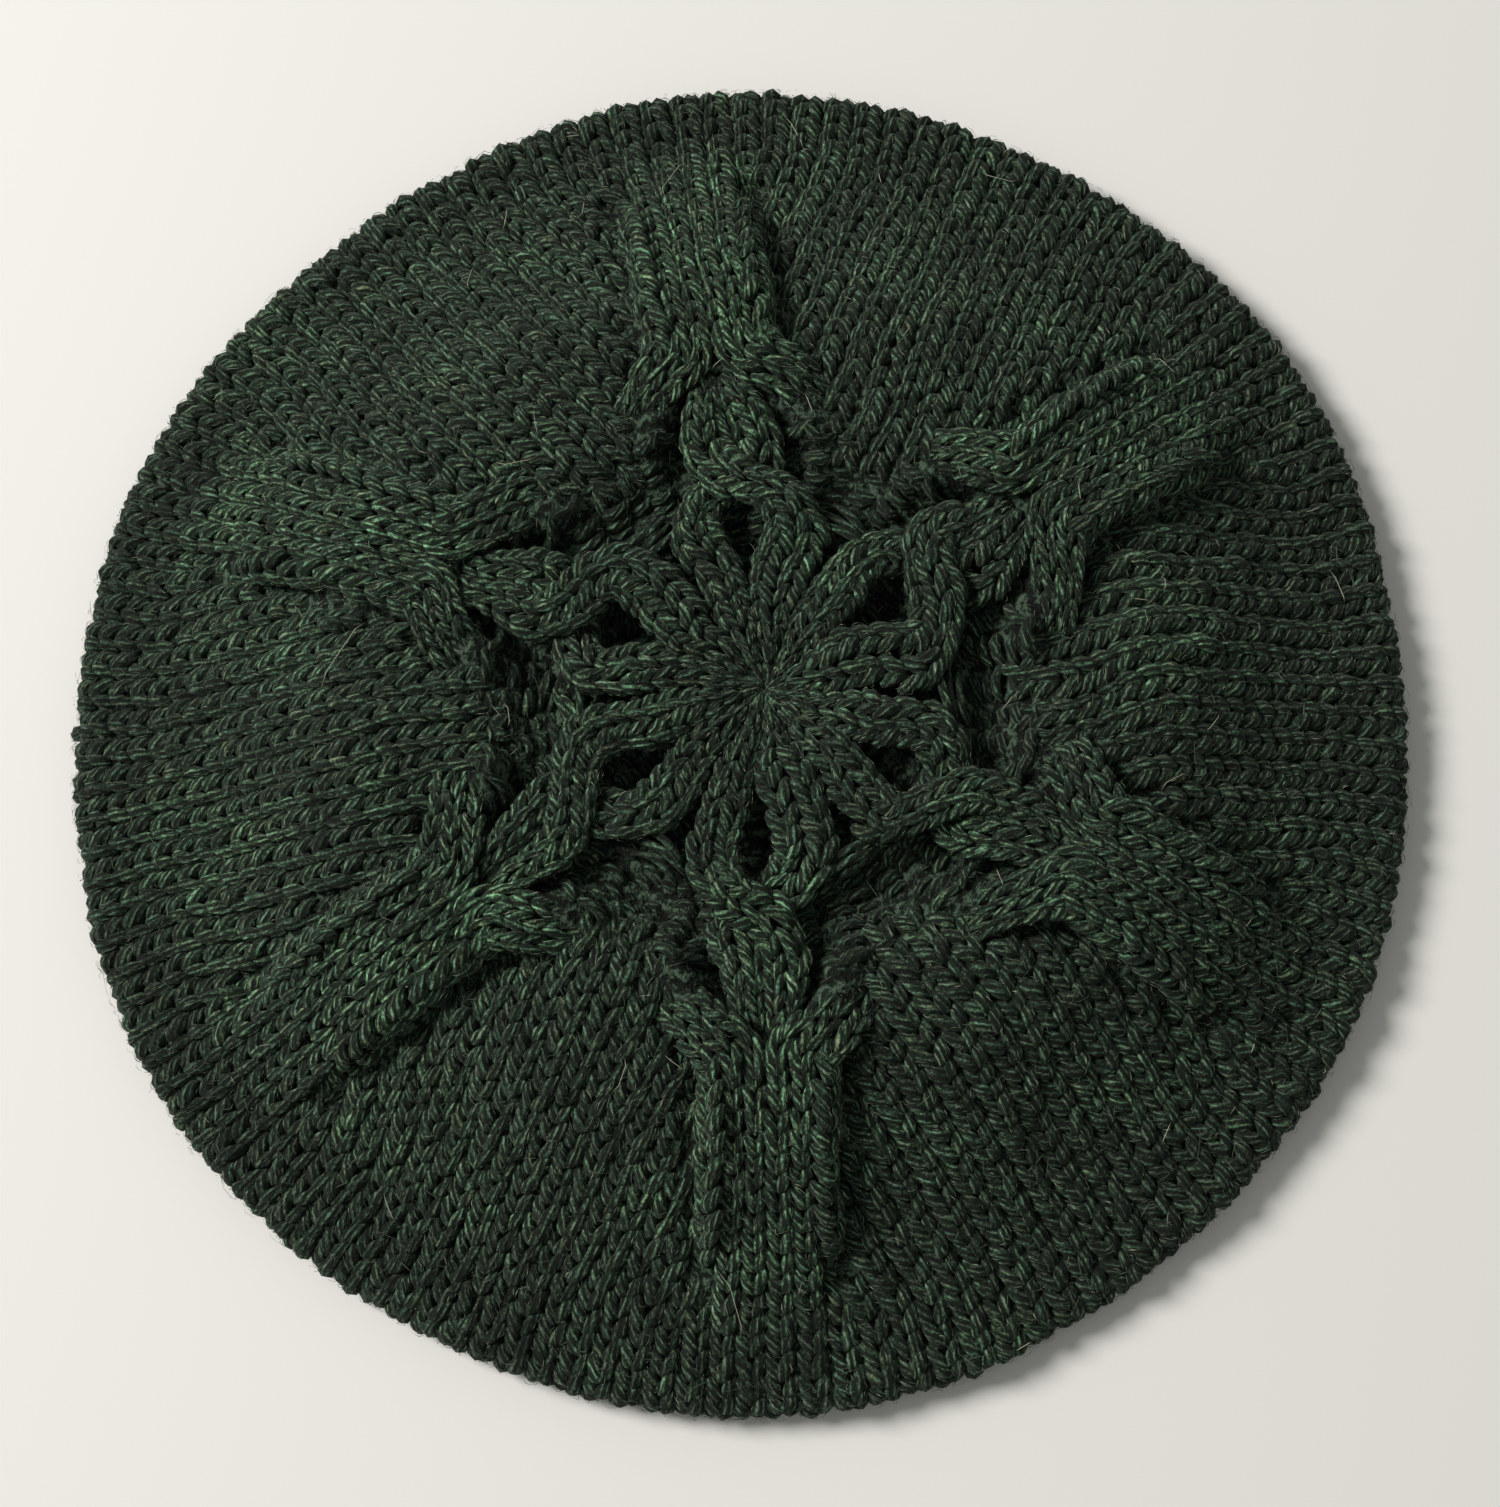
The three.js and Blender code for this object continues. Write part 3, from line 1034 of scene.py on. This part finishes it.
def knit_legs(columns, starts, template, relief_shading, random, thickness=1.0):
    """Yarn pieces of both legs of every stitch, and their paths."""
    knit = bpy.context.scene.tam_knit
    legs = np.repeat(starts, 2).astype(float)
    signs = np.tile((-1.0, 1.0), len(starts))
    yarn = knit.yarn / METRES * thickness
    paths = stitch_paths(columns, legs, KNIT_LEG, signs, yarn, knit.unevenness, random)
    return stitch_pieces(template, paths, relief_shading, random), paths


def row_starts(columns, rows):
    """Samples at which the same rows of every column begin."""
    return (np.array(columns.starts)[:, None] + (np.array(rows) + 1)[None, :] * ROW_STEPS).ravel()


# What the wool's colour is multiplied by, along the texture or the fact that each is named after
HUE_STOPS = (
    (0.33, (1.05, 0.86, 0.76)),
    (0.44, (0.95, 1.0, 0.92)),
    (0.56, (0.76, 1.06, 0.98)),
    (0.68, (1.08, 1.06, 0.84)),
)
CLOUD_STOPS = ((0.34, (0.74, 0.74, 0.74)), (0.5, (0.95, 0.95, 0.95)), (0.68, (1.4, 1.48, 1.38)))
# Painted shade of the sloping rim: the wool darkens between 0.78 and 0.9 of the rim's radius
RIM_SHADE_STOPS = ((0.78, (1.06, 1.07, 1.07)), (0.9, (0.92, 0.91, 0.92)))
TONE_STOPS = ((0.0, (0.7, 0.72, 0.7)), (1.0, (1.25, 1.25, 1.2)))
# Painted light and shade by relief: raised stitches lighter, sunken ones darker
RELIEF_SHADING_STOPS = ((0.0, (0.6, 0.6, 0.6)), (0.5, (1.0, 1.0, 1.0)), (1.0, (1.3, 1.36, 1.3)))
# Painted occlusion shade: darkens the under sides and ends of the yarn pieces
OCCLUSION_SHADE_STOPS = ((0.1, (0.3, 0.3, 0.3)), (0.7, (1.1, 1.1, 1.1)))
# Colours of the single fibres, from the darkest to the few pale ones
FIBRE_STOPS = (
    (0.3, (0.006, 0.008, 0.005)),
    (0.45, (0.05, 0.075, 0.05)),
    (0.96, (0.15, 0.19, 0.13)),
    (1.0, (0.45, 0.45, 0.33)),
)
# How much brighter than the light fibres the brightest are
BRIGHTEST = 2.5


def new_material(name):
    """A material, its node tree and its shader."""
    material = bpy.data.materials.new(name)
    material.use_nodes = True
    return material, material.node_tree, material.node_tree.nodes["Principled BSDF"]


def object_place(tree):
    """The place on the object."""
    return tree.nodes.new("ShaderNodeTexCoord").outputs["Object"]


def attribute(tree, name):
    """The vector that a piece's attribute holds."""
    node = tree.nodes.new("ShaderNodeAttribute")
    node.attribute_name = name
    return node.outputs["Vector"]


def shade_parts(tree):
    """The facts in the attribute shade: X painted occlusion shade, Y the dye's tone and Z painted light
    and shade by relief.
    """
    node = tree.nodes.new("ShaderNodeSeparateXYZ")
    tree.links.new(attribute(tree, "shade"), node.inputs["Vector"])
    return node.outputs


def noise(tree, vector, scale, detail, roughness=0.5):
    """A noise texture that reads a vector."""
    node = tree.nodes.new("ShaderNodeTexNoise")
    node.inputs["Scale"].default_value = scale
    node.inputs["Detail"].default_value = detail
    node.inputs["Roughness"].default_value = roughness
    tree.links.new(vector, node.inputs["Vector"])
    return node.outputs["Fac"]


def wave(tree, vector, kind, scale, distortion, detail, detail_scale, detail_roughness=0.5):
    """A wave texture that reads a vector, in bands along X or in rings around Z."""
    node = tree.nodes.new("ShaderNodeTexWave")
    node.wave_type = kind
    node.bands_direction = "X"
    node.rings_direction = "Z"
    node.inputs["Scale"].default_value = scale
    node.inputs["Distortion"].default_value = distortion
    node.inputs["Detail"].default_value = detail
    node.inputs["Detail Scale"].default_value = detail_scale
    node.inputs["Detail Roughness"].default_value = detail_roughness
    tree.links.new(vector, node.inputs["Vector"])
    return node.outputs["Fac"]


def ramp(tree, value, stops):
    """A colour ramp over a value."""
    node = tree.nodes.new("ShaderNodeValToRGB")
    elements = node.color_ramp.elements
    while len(elements) < len(stops):
        elements.new(0.5)
    for element, (place, colour) in zip(elements, stops):
        element.position = place
        element.color = (*colour, 1.0)
    tree.links.new(value, node.inputs["Fac"])
    return node.outputs["Color"]


def mixed(tree, share, first, second):
    """Two values mixed by a plain share."""
    node = tree.nodes.new("ShaderNodeMix")
    node.inputs[0].default_value = share
    tree.links.new(first, node.inputs[2])
    tree.links.new(second, node.inputs[3])
    return node.outputs[0]


def multiplied(tree, share, first, second):
    """A colour multiplied by a second one, by a plain share."""
    node = tree.nodes.new("ShaderNodeMix")
    node.data_type = "RGBA"
    node.blend_type = "MULTIPLY"
    node.inputs[0].default_value = share
    tree.links.new(first, node.inputs[6])
    tree.links.new(second, node.inputs[7])
    return node.outputs[2]


def raise_surface(tree, shader, height, strength, distance):
    """Gives a shader a bumpy surface from a value."""
    node = tree.nodes.new("ShaderNodeBump")
    node.inputs["Strength"].default_value = strength
    node.inputs["Distance"].default_value = distance
    tree.links.new(height, node.inputs["Height"])
    tree.links.new(node.outputs["Normal"], shader.inputs["Normal"])


def from_middle(tree, place):
    """Distance of a place from the origin, as a share of the rim's radius."""
    length = tree.nodes.new("ShaderNodeVectorMath")
    length.operation = "LENGTH"
    tree.links.new(place, length.inputs[0])
    share = tree.nodes.new("ShaderNodeMath")
    share.operation = "MULTIPLY"
    share.inputs[1].default_value = 1.0 / (RIM_RADIUS * METRES)
    tree.links.new(length.outputs["Value"], share.inputs[0])
    return share.outputs[0]


def heather_wool():
    """Heathered green plied wool that reads the fibre directions of its yarn pieces."""
    colours = bpy.context.scene.tam_colours
    material, tree, shader = new_material("heather_wool")
    fibre = attribute(tree, "fibre")
    parts = shade_parts(tree)
    place = object_place(tree)
    grain = noise(tree, fibre, 1.6, 2.4, 0.62)
    plies = wave(tree, fibre, "BANDS", 0.2, 4.5, 2.0, 1.2, 0.6)
    specks = noise(tree, place, 1700.0, 1.5)
    streaks = mixed(tree, 0.28, mixed(tree, 0.22, grain, plies), specks)
    body = tuple(colours.body)
    light = tuple(colours.light)
    stops = (
        (0.40, tuple(colours.deep)),
        (0.49, body),
        (0.55, tuple(dark + (pale - dark) * 0.4 for dark, pale in zip(body, light))),
        (0.60, light),
        (0.67, tuple(min(1.0, part * BRIGHTEST) for part in light)),
    )
    base = ramp(tree, streaks, stops)
    for share, value, factors in (
        (0.8, noise(tree, fibre, 0.55, 2.0), HUE_STOPS),
        (1.0, noise(tree, place, 45.0, 2.0), CLOUD_STOPS),
        # painted shade towards the rim
        (1.0, from_middle(tree, place), RIM_SHADE_STOPS),
        (1.0, parts["Y"], TONE_STOPS),
        # painted light and shade by relief
        (1.0, parts["Z"], RELIEF_SHADING_STOPS),
        # painted occlusion shade
        (1.0, parts["X"], OCCLUSION_SHADE_STOPS),
    ):
        base = multiplied(tree, share, base, ramp(tree, value, factors))
    tree.links.new(base, shader.inputs["Base Color"])
    raise_surface(tree, shader, streaks, 1.0, 0.0009)
    shader.inputs["Roughness"].default_value = 0.9
    shader.inputs["Specular IOR Level"].default_value = 0.18
    shader.inputs["Sheen Weight"].default_value = 0.08
    shader.inputs["Sheen Roughness"].default_value = 0.6
    shader.inputs["Sheen Tint"].default_value = (0.55, 0.7, 0.55, 1.0)
    return material


def ground_wool():
    """The dark wool that shows between the stitches, in faint rings of rows."""
    colours = bpy.context.scene.tam_colours
    material, tree, shader = new_material("ground_wool")
    place = object_place(tree)
    rows = wave(tree, place, "RINGS", 78.0, 3.0, 1.0, 3.0)
    grain = mixed(tree, 0.16, noise(tree, place, 750.0, 2.0, 0.6), rows)
    stops = ((0.36, colours.deep), (0.48, colours.body), (0.62, colours.light))
    tree.links.new(ramp(tree, grain, stops), shader.inputs["Base Color"])
    raise_surface(tree, shader, grain, 0.9, 0.002)
    shader.inputs["Roughness"].default_value = 0.95
    shader.inputs["Specular IOR Level"].default_value = 0.2
    return material


def fine_wool():
    """Single pale fibres."""
    material, tree, shader = new_material("fine_wool")
    tree.links.new(ramp(tree, shade_parts(tree)["Y"], FIBRE_STOPS), shader.inputs["Base Color"])
    shader.inputs["Roughness"].default_value = 0.7
    return material


def wool(maker):
    """The material that a function of the same name makes, made the first time it is asked for."""
    return bpy.data.materials.get(maker.__name__) or maker()


def random_for(number):
    """A seeded source of random numbers for one piece."""
    return np.random.default_rng((bpy.context.scene.tam_knit.seed, number))


class TAM_OT_ground(bpy.types.Operator):
    """Make the closed layer of wool behind the stitches, from the crown over the rim to the band"""

    bl_idname = "tam.ground"
    bl_label = "Fabric ground"

    def execute(self, context):
        steps = np.concatenate((np.arange(0.0, MERIDIAN_END, 2.0), (MERIDIAN_END,)))
        both = np.concatenate((steps, steps[::-1]))
        surface = along_meridian(MERIDIAN_POINTS, both)
        outward = along_meridian(MERIDIAN_OUTWARD, both)
        depth = np.interp(surface[0], RIM_RISE, (GROUND_INSET, RIM_GROUND_INSET))
        depth[len(steps) :] = FABRIC_WALL
        radii = np.maximum(surface[0] - depth * outward[0], 0.0)
        heights = surface[1] - depth * outward[1]
        shape = bmesh.new()
        chain = [shape.verts.new((0.0, radius, height)) for radius, height in zip(radii, heights)]
        edges = [shape.edges.new(pair) for pair in zip(chain[:-1], chain[1:])]
        bmesh.ops.spin(
            shape,
            geom=chain + edges,
            axis=(0.0, 0.0, -1.0),
            cent=(0.0, 0.0, 0.0),
            angle=math.tau,
            steps=6 * RIM_COLUMNS,
            use_merge=True,
        )
        bmesh.ops.remove_doubles(shape, verts=shape.verts[:], dist=0.0005)
        bmesh.ops.dissolve_degenerate(shape, edges=shape.edges[:], dist=0.0001)
        bmesh.ops.recalc_face_normals(shape, faces=shape.faces[:])
        mesh = mesh_of(shape, "knitted_ground")
        place_ground(mesh)
        add_piece(mesh, wool(ground_wool), "crown_shell")
        return {"FINISHED"}


def place_ground(mesh):
    """Moves the spun section's vertices to the hat's relief, rim waves and off-centre crown."""
    flat = np.empty(len(mesh.vertices) * 3, dtype=np.float64)
    mesh.vertices.foreach_get("co", flat)
    spun = flat.reshape(-1, 3)
    radius = np.hypot(spun[:, 0], spun[:, 1])
    angle = np.degrees(np.arctan2(spun[:, 0], spun[:, 1]))
    relief = star_relief_at(angle, radius / RIM_RADIUS)
    upper = spun[:, 2] > np.interp(radius, *BETWEEN_LAYERS)
    x, y = plan_place(angle, radius, upper)
    moved = np.stack((x, y, spun[:, 2] + np.where(upper, relief, 0.0)), axis=-1)
    mesh.vertices.foreach_set("co", (moved * METRES).astype(np.float32).ravel())


def star_relief_at(angle, share):
    """The ground's relief at directions and shares of the radius on the crown."""
    relief = np.zeros(len(angle))
    for sector in range(6):
        sectors = np.full(len(angle), sector)
        zero = np.zeros(len(angle))
        here = true_angle(sectors, zero, share)
        after = true_angle(sectors, zero + SECTOR_HALF, share)
        before = true_angle(sectors, zero - SECTOR_HALF, share)
        turned = np.mod(angle - here + 180.0, 360.0) - 180.0
        side = np.where(turned > 0, turned / (after - here), turned / (here - before)) * SECTOR_HALF
        mine = (side >= -SECTOR_HALF) & (side < SECTOR_HALF)
        radius = share / reach_of(sectors, side, share)
        across, along = arm_place(side, radius)
        relief = np.where(mine, ground_relief(across, along), relief)
    return relief


class TAM_OT_rim(bpy.types.Operator):
    """Knit the rows of the rim and of the underside"""

    bl_idname = "tam.rim"
    bl_label = "Rim and underside"

    def execute(self, context):
        columns, rows = rim_columns()
        bands = (
            ("underside_stitches", range(0, rows - UPPER_ROWS), COARSE_SPINDLE, 11),
            ("roll_stitches", range(rows - UPPER_ROWS, rows - RIM_ROWS), FINE_SPINDLE, 12),
            ("rim_stitches", range(rows - RIM_ROWS, rows), FINE_SPINDLE, 13),
        )
        hairs = []
        for name, numbers, template, seed in bands:
            random = random_for(seed)
            starts = row_starts(columns, numbers)
            # The 0.3 is painted relief shading: these rows are darker than the raised arms
            pieces, paths = knit_legs(columns, starts, template, 0.3, random)
            add_yarn(name, pieces, wool(heather_wool))
            if template is FINE_SPINDLE:
                hairs.append(hair_pieces(paths, context.scene.tam_knit.hairs, random))
        add_yarn("rim_hairs", joined(hairs), wool(fine_wool))
        return {"FINISHED"}


class TAM_OT_gores(bpy.types.Operator):
    """Knit the six gores of the crown: panels, arms, arm halves, tongues and strands"""

    bl_idname = "tam.gores"
    bl_label = "Crown gores"

    def execute(self, context):
        half = (ARM_HALF_COLUMNS, ROW_HEIGHT, 1.0, 1, 1.0)
        strand = (STRAND_COLUMNS, STRAND_ROW, 1.3)
        # The middle number of each set is painted light and shade by relief: the raised arms and their
        # halves lightest, the panels darker
        sets = (
            (panel_columns(), 0.4, 21),
            (arm_columns(), 0.8, 22),
            (cable_columns(ARM_HALF, 1, *half), 0.8, 23),
            (cable_columns(ARM_HALF, -1, *half), 0.8, 24),
            (cable_columns(OVER_STRAND, 1, *strand), 0.6, 25),
            (cable_columns(UNDER_STRAND, 1, *strand), 0.6, 26),
        )
        hairs = []
        for sector in range(6):
            parts = []
            for (columns, stitches), relief_shading, seed in sets:
                random = random_for(seed * 10 + sector)
                starts = stitches[stitches[:, 1] == sector, 0]
                pieces, paths = knit_legs(columns, starts, FINE_SPINDLE, relief_shading, random)
                parts.append(pieces)
                hairs.append(hair_pieces(paths, context.scene.tam_knit.hairs, random))
            add_yarn(f"crown_gore_{sector + 1}", joined(parts), wool(heather_wool))
        add_yarn("crown_hairs", joined(hairs), wool(fine_wool))
        return {"FINISHED"}


class TAM_OT_star_details(bpy.types.Operator):
    """Knit the purl stitches and lay the loose threads across the pockets"""

    bl_idname = "tam.star_details"
    bl_label = "Purl stitches and loose threads"

    def execute(self, context):
        knit = context.scene.tam_knit
        yarn = knit.yarn / METRES
        columns, stitches = purl_columns()
        starts = stitches[:, 0].astype(float)
        random = random_for(41)
        paths = stitch_paths(
            columns, starts, PURL_BUMP, np.ones(len(starts)), yarn * 0.8, knit.unevenness * 1.8, random
        )
        # The 0.1 is painted shade: the purl stitches in the sunken eyes, pockets and slits are darkest
        pieces = stitch_pieces(BUMP_SPINDLE, paths, 0.1, random)
        add_yarn("purl_stitches", pieces, wool(heather_wool))
        paths = bridge_paths(random)
        up = np.broadcast_to((0.0, 0.0, 1.0), paths.shape)
        radius = random.uniform(0.62, 0.85, len(paths))
        threads = yarn_pieces(THREAD_SPINDLE, paths, up, radius, random.random((len(paths), 5)))
        add_yarn("pocket_threads", threads, wool(heather_wool))
        return {"FINISHED"}


class TAM_OT_fibres(bpy.types.Operator):
    """Scatter the fine wool fibres that stand off the knitting"""

    bl_idname = "tam.fibres"
    bl_label = "Loose fibres"

    def execute(self, context):
        count = context.scene.tam_knit.loose_fibres
        random = random_for(51)
        paths = fibre_paths(count, random)
        up = np.broadcast_to((0.0, 0.0, 1.0), paths.shape)
        radius = random.uniform(0.025, 0.05, count)
        radius[:STRAY_FIBRES] = 0.07
        dye = random.random((count, 5))
        dye[:STRAY_FIBRES, 0] = 1.0
        fibres = yarn_pieces(FIBRE_SPINDLE, paths, up, radius, dye)
        add_yarn("loose_fibres", fibres, wool(fine_wool))
        return {"FINISHED"}


def band_columns(inner_face):
    """The knit columns of the ribbing on its outer or inner face."""
    columns = StitchColumns()
    heights = np.linspace(-ROW_HEIGHT, BAND_HEIGHT + 2 * ROW_HEIGHT, 8 * ROW_STEPS + 1)
    heights = np.clip(heights, 0.9, BAND_HEIGHT - 0.4)
    pitch = 360.0 / (RIB_COUNT * 4)
    face = BAND_INNER_RADIUS + BAND_INSET if inner_face else BAND_OUTER_RADIUS - BAND_INSET
    for rib in range(RIB_COUNT):
        for number in (0, 1):
            middle = (rib * 4 + number + (2 if inner_face else 0) - 0.5) * pitch
            edges = []
            for step in (-0.5, 0.0, 0.5):
                angle = middle + step * pitch
                radius = face + RIB_DEPTH * math.cos(math.radians(angle * RIB_COUNT))
                turn = math.radians(angle)
                x = np.full(len(heights), HAT_MIDDLE[0] + radius * math.sin(turn))
                y = np.full(len(heights), HAT_MIDDLE[1] + radius * math.cos(turn))
                edges.append(np.stack((x, y, heights), axis=-1))
            columns.add(*(edges[::-1] if inner_face else edges))
    columns.finish()
    return columns


def band_core():
    """The mesh of the ring of wool behind the band's stitches."""
    core = bmesh.new()
    radius = BAND_OUTER_RADIUS - 1.6
    ring = bmesh.ops.create_circle(core, segments=RIB_COUNT * 6, radius=radius)["verts"]
    for vertex in ring:
        angle = math.atan2(vertex.co.x, vertex.co.y)
        vertex.co *= 1.0 + RIB_DEPTH * math.cos(RIB_COUNT * angle) / BAND_OUTER_RADIUS
        vertex.co.z = 0.8
    lower_edges = list({edge for vertex in ring for edge in vertex.link_edges})
    raised = bmesh.ops.extrude_edge_only(core, edges=lower_edges)["geom"]
    top = [item for item in raised if isinstance(item, bmesh.types.BMVert)]
    bmesh.ops.translate(core, verts=top, vec=(0.0, 0.0, BAND_HEIGHT - 1.0))
    bmesh.ops.recalc_face_normals(core, faces=core.faces[:])
    outward = sum(face.normal.dot(face.calc_center_median().xy.to_3d()) for face in core.faces)
    if outward < 0:
        bmesh.ops.reverse_faces(core, faces=core.faces[:])
    bmesh.ops.solidify(core, geom=core.faces[:], thickness=1.4)
    bmesh.ops.transform(
        core,
        matrix=Matrix.Scale(METRES, 4) @ Matrix.Translation(Vector((*HAT_MIDDLE, 0.0))),
        verts=core.verts[:],
    )
    return mesh_of(core, "band_core")


class TAM_OT_band(bpy.types.Operator):
    """Knit the ribbed band around its core of wool"""

    bl_idname = "tam.band"
    bl_label = "Ribbed band"

    def execute(self, context):
        parts = []
        for inner_face in (False, True):
            columns = band_columns(inner_face)
            starts = row_starts(columns, range(5))
            # The 0.3 is painted relief shading of the band's stitches
            parts.append(knit_legs(columns, starts, COARSE_SPINDLE, 0.3, random_for(31), 0.75)[0])
        add_yarn("band_stitches", joined(parts), wool(heather_wool), "rib_band")
        add_piece(band_core(), wool(ground_wool), "rib_band")
        return {"FINISHED"}


# The stage: floor and light sizes, places and distances in metres, angles in degrees
FLOOR_SIZE = 8.0
AIR_COLOUR = (0.97, 1.0, 0.94, 1.0)
KEY_SIZE = 0.8
KEY_COLOUR = (1.0, 0.98, 0.94)
KEY_PLACE = (-1.50, 0.46, 1.42)
CAMERA_LENS = 64.2
CAMERA_TILT = 13.0
CAMERA_TARGET = (0.00177, -0.00582, 0.0)
CAMERA_DISTANCE = 0.52


class TAM_OT_stage(bpy.types.Operator):
    """Set up the floor, the lights and the camera"""

    bl_idname = "tam.stage"
    bl_label = "Floor, lights and camera"

    def execute(self, context):
        scene = context.scene
        stage = scene.tam_stage
        scene.view_settings.view_transform = "Standard"
        shape = bmesh.new()
        bmesh.ops.create_grid(shape, x_segments=1, y_segments=1, size=FLOOR_SIZE)
        floor = bpy.data.objects.new("floor", mesh_of(shape, "floor"))
        scene.collection.objects.link(floor)
        paint, _, shader = new_material("pale_floor")
        shader.inputs["Base Color"].default_value = (*stage.floor, 1.0)
        shader.inputs["Roughness"].default_value = 0.9
        floor.data.materials.append(paint)

        world = bpy.data.worlds.new("studio")
        world.use_nodes = True
        background = world.node_tree.nodes["Background"]
        background.inputs["Color"].default_value = AIR_COLOUR
        background.inputs["Strength"].default_value = stage.fill
        scene.world = world

        light = bpy.data.lights.new("key_light", "AREA")
        light.shape = "DISK"
        light.size = KEY_SIZE
        light.energy = stage.key_power
        light.color = KEY_COLOUR
        key = bpy.data.objects.new("key_light", light)
        key.location = KEY_PLACE
        key.rotation_euler = (-key.location).to_track_quat("-Z", "Y").to_euler()
        scene.collection.objects.link(key)

        lens = bpy.data.cameras.new("camera")
        lens.sensor_fit = "HORIZONTAL"
        lens.sensor_width = 36.0
        lens.lens = CAMERA_LENS
        lens.clip_start = 0.01
        camera = bpy.data.objects.new("camera", lens)
        tilt = math.radians(CAMERA_TILT)
        away = Vector((0.0, -math.sin(tilt), math.cos(tilt)))
        camera.location = Vector(CAMERA_TARGET) + CAMERA_DISTANCE * away
        camera.rotation_euler = (tilt, 0.0, 0.0)
        scene.collection.objects.link(camera)
        scene.camera = camera
        return {"FINISHED"}


STEPS = (
    TAM_OT_ground,
    TAM_OT_rim,
    TAM_OT_gores,
    TAM_OT_star_details,
    TAM_OT_fibres,
    TAM_OT_band,
    TAM_OT_stage,
)


class TAM_PT_panel(bpy.types.Panel):
    """Lists the steps that build the hat"""

    bl_idname = "TAM_PT_panel"
    bl_label = "Tam o shanter"
    bl_space_type = "VIEW_3D"
    bl_region_type = "UI"
    bl_category = "Tam"

    def draw(self, context):
        layout = self.layout
        for group in (context.scene.tam_knit, context.scene.tam_colours, context.scene.tam_stage):
            box = layout.box()
            for name in group.__annotations__:
                box.prop(group, name)
        for step in STEPS:
            layout.operator(step.bl_idname)


CLASSES = (TamKnitSettings, TamColourSettings, TamStageSettings, *STEPS, TAM_PT_panel)


def register():
    """Adds the settings, the steps and the panel."""
    for kind in CLASSES:
        bpy.utils.register_class(kind)
    bpy.types.Scene.tam_knit = bpy.props.PointerProperty(type=TamKnitSettings)
    bpy.types.Scene.tam_colours = bpy.props.PointerProperty(type=TamColourSettings)
    bpy.types.Scene.tam_stage = bpy.props.PointerProperty(type=TamStageSettings)


def unregister():
    """Takes the settings, the steps and the panel away."""
    del bpy.types.Scene.tam_stage
    del bpy.types.Scene.tam_colours
    del bpy.types.Scene.tam_knit
    for kind in reversed(CLASSES):
        bpy.utils.unregister_class(kind)


def main():
    """Builds the hat and the stage."""
    register()
    bpy.ops.tam.ground()
    bpy.ops.tam.rim()
    bpy.ops.tam.gores()
    bpy.ops.tam.star_details()
    bpy.ops.tam.fibres()
    bpy.ops.tam.band()
    bpy.ops.tam.stage()


if __name__ == "__main__":
    main()
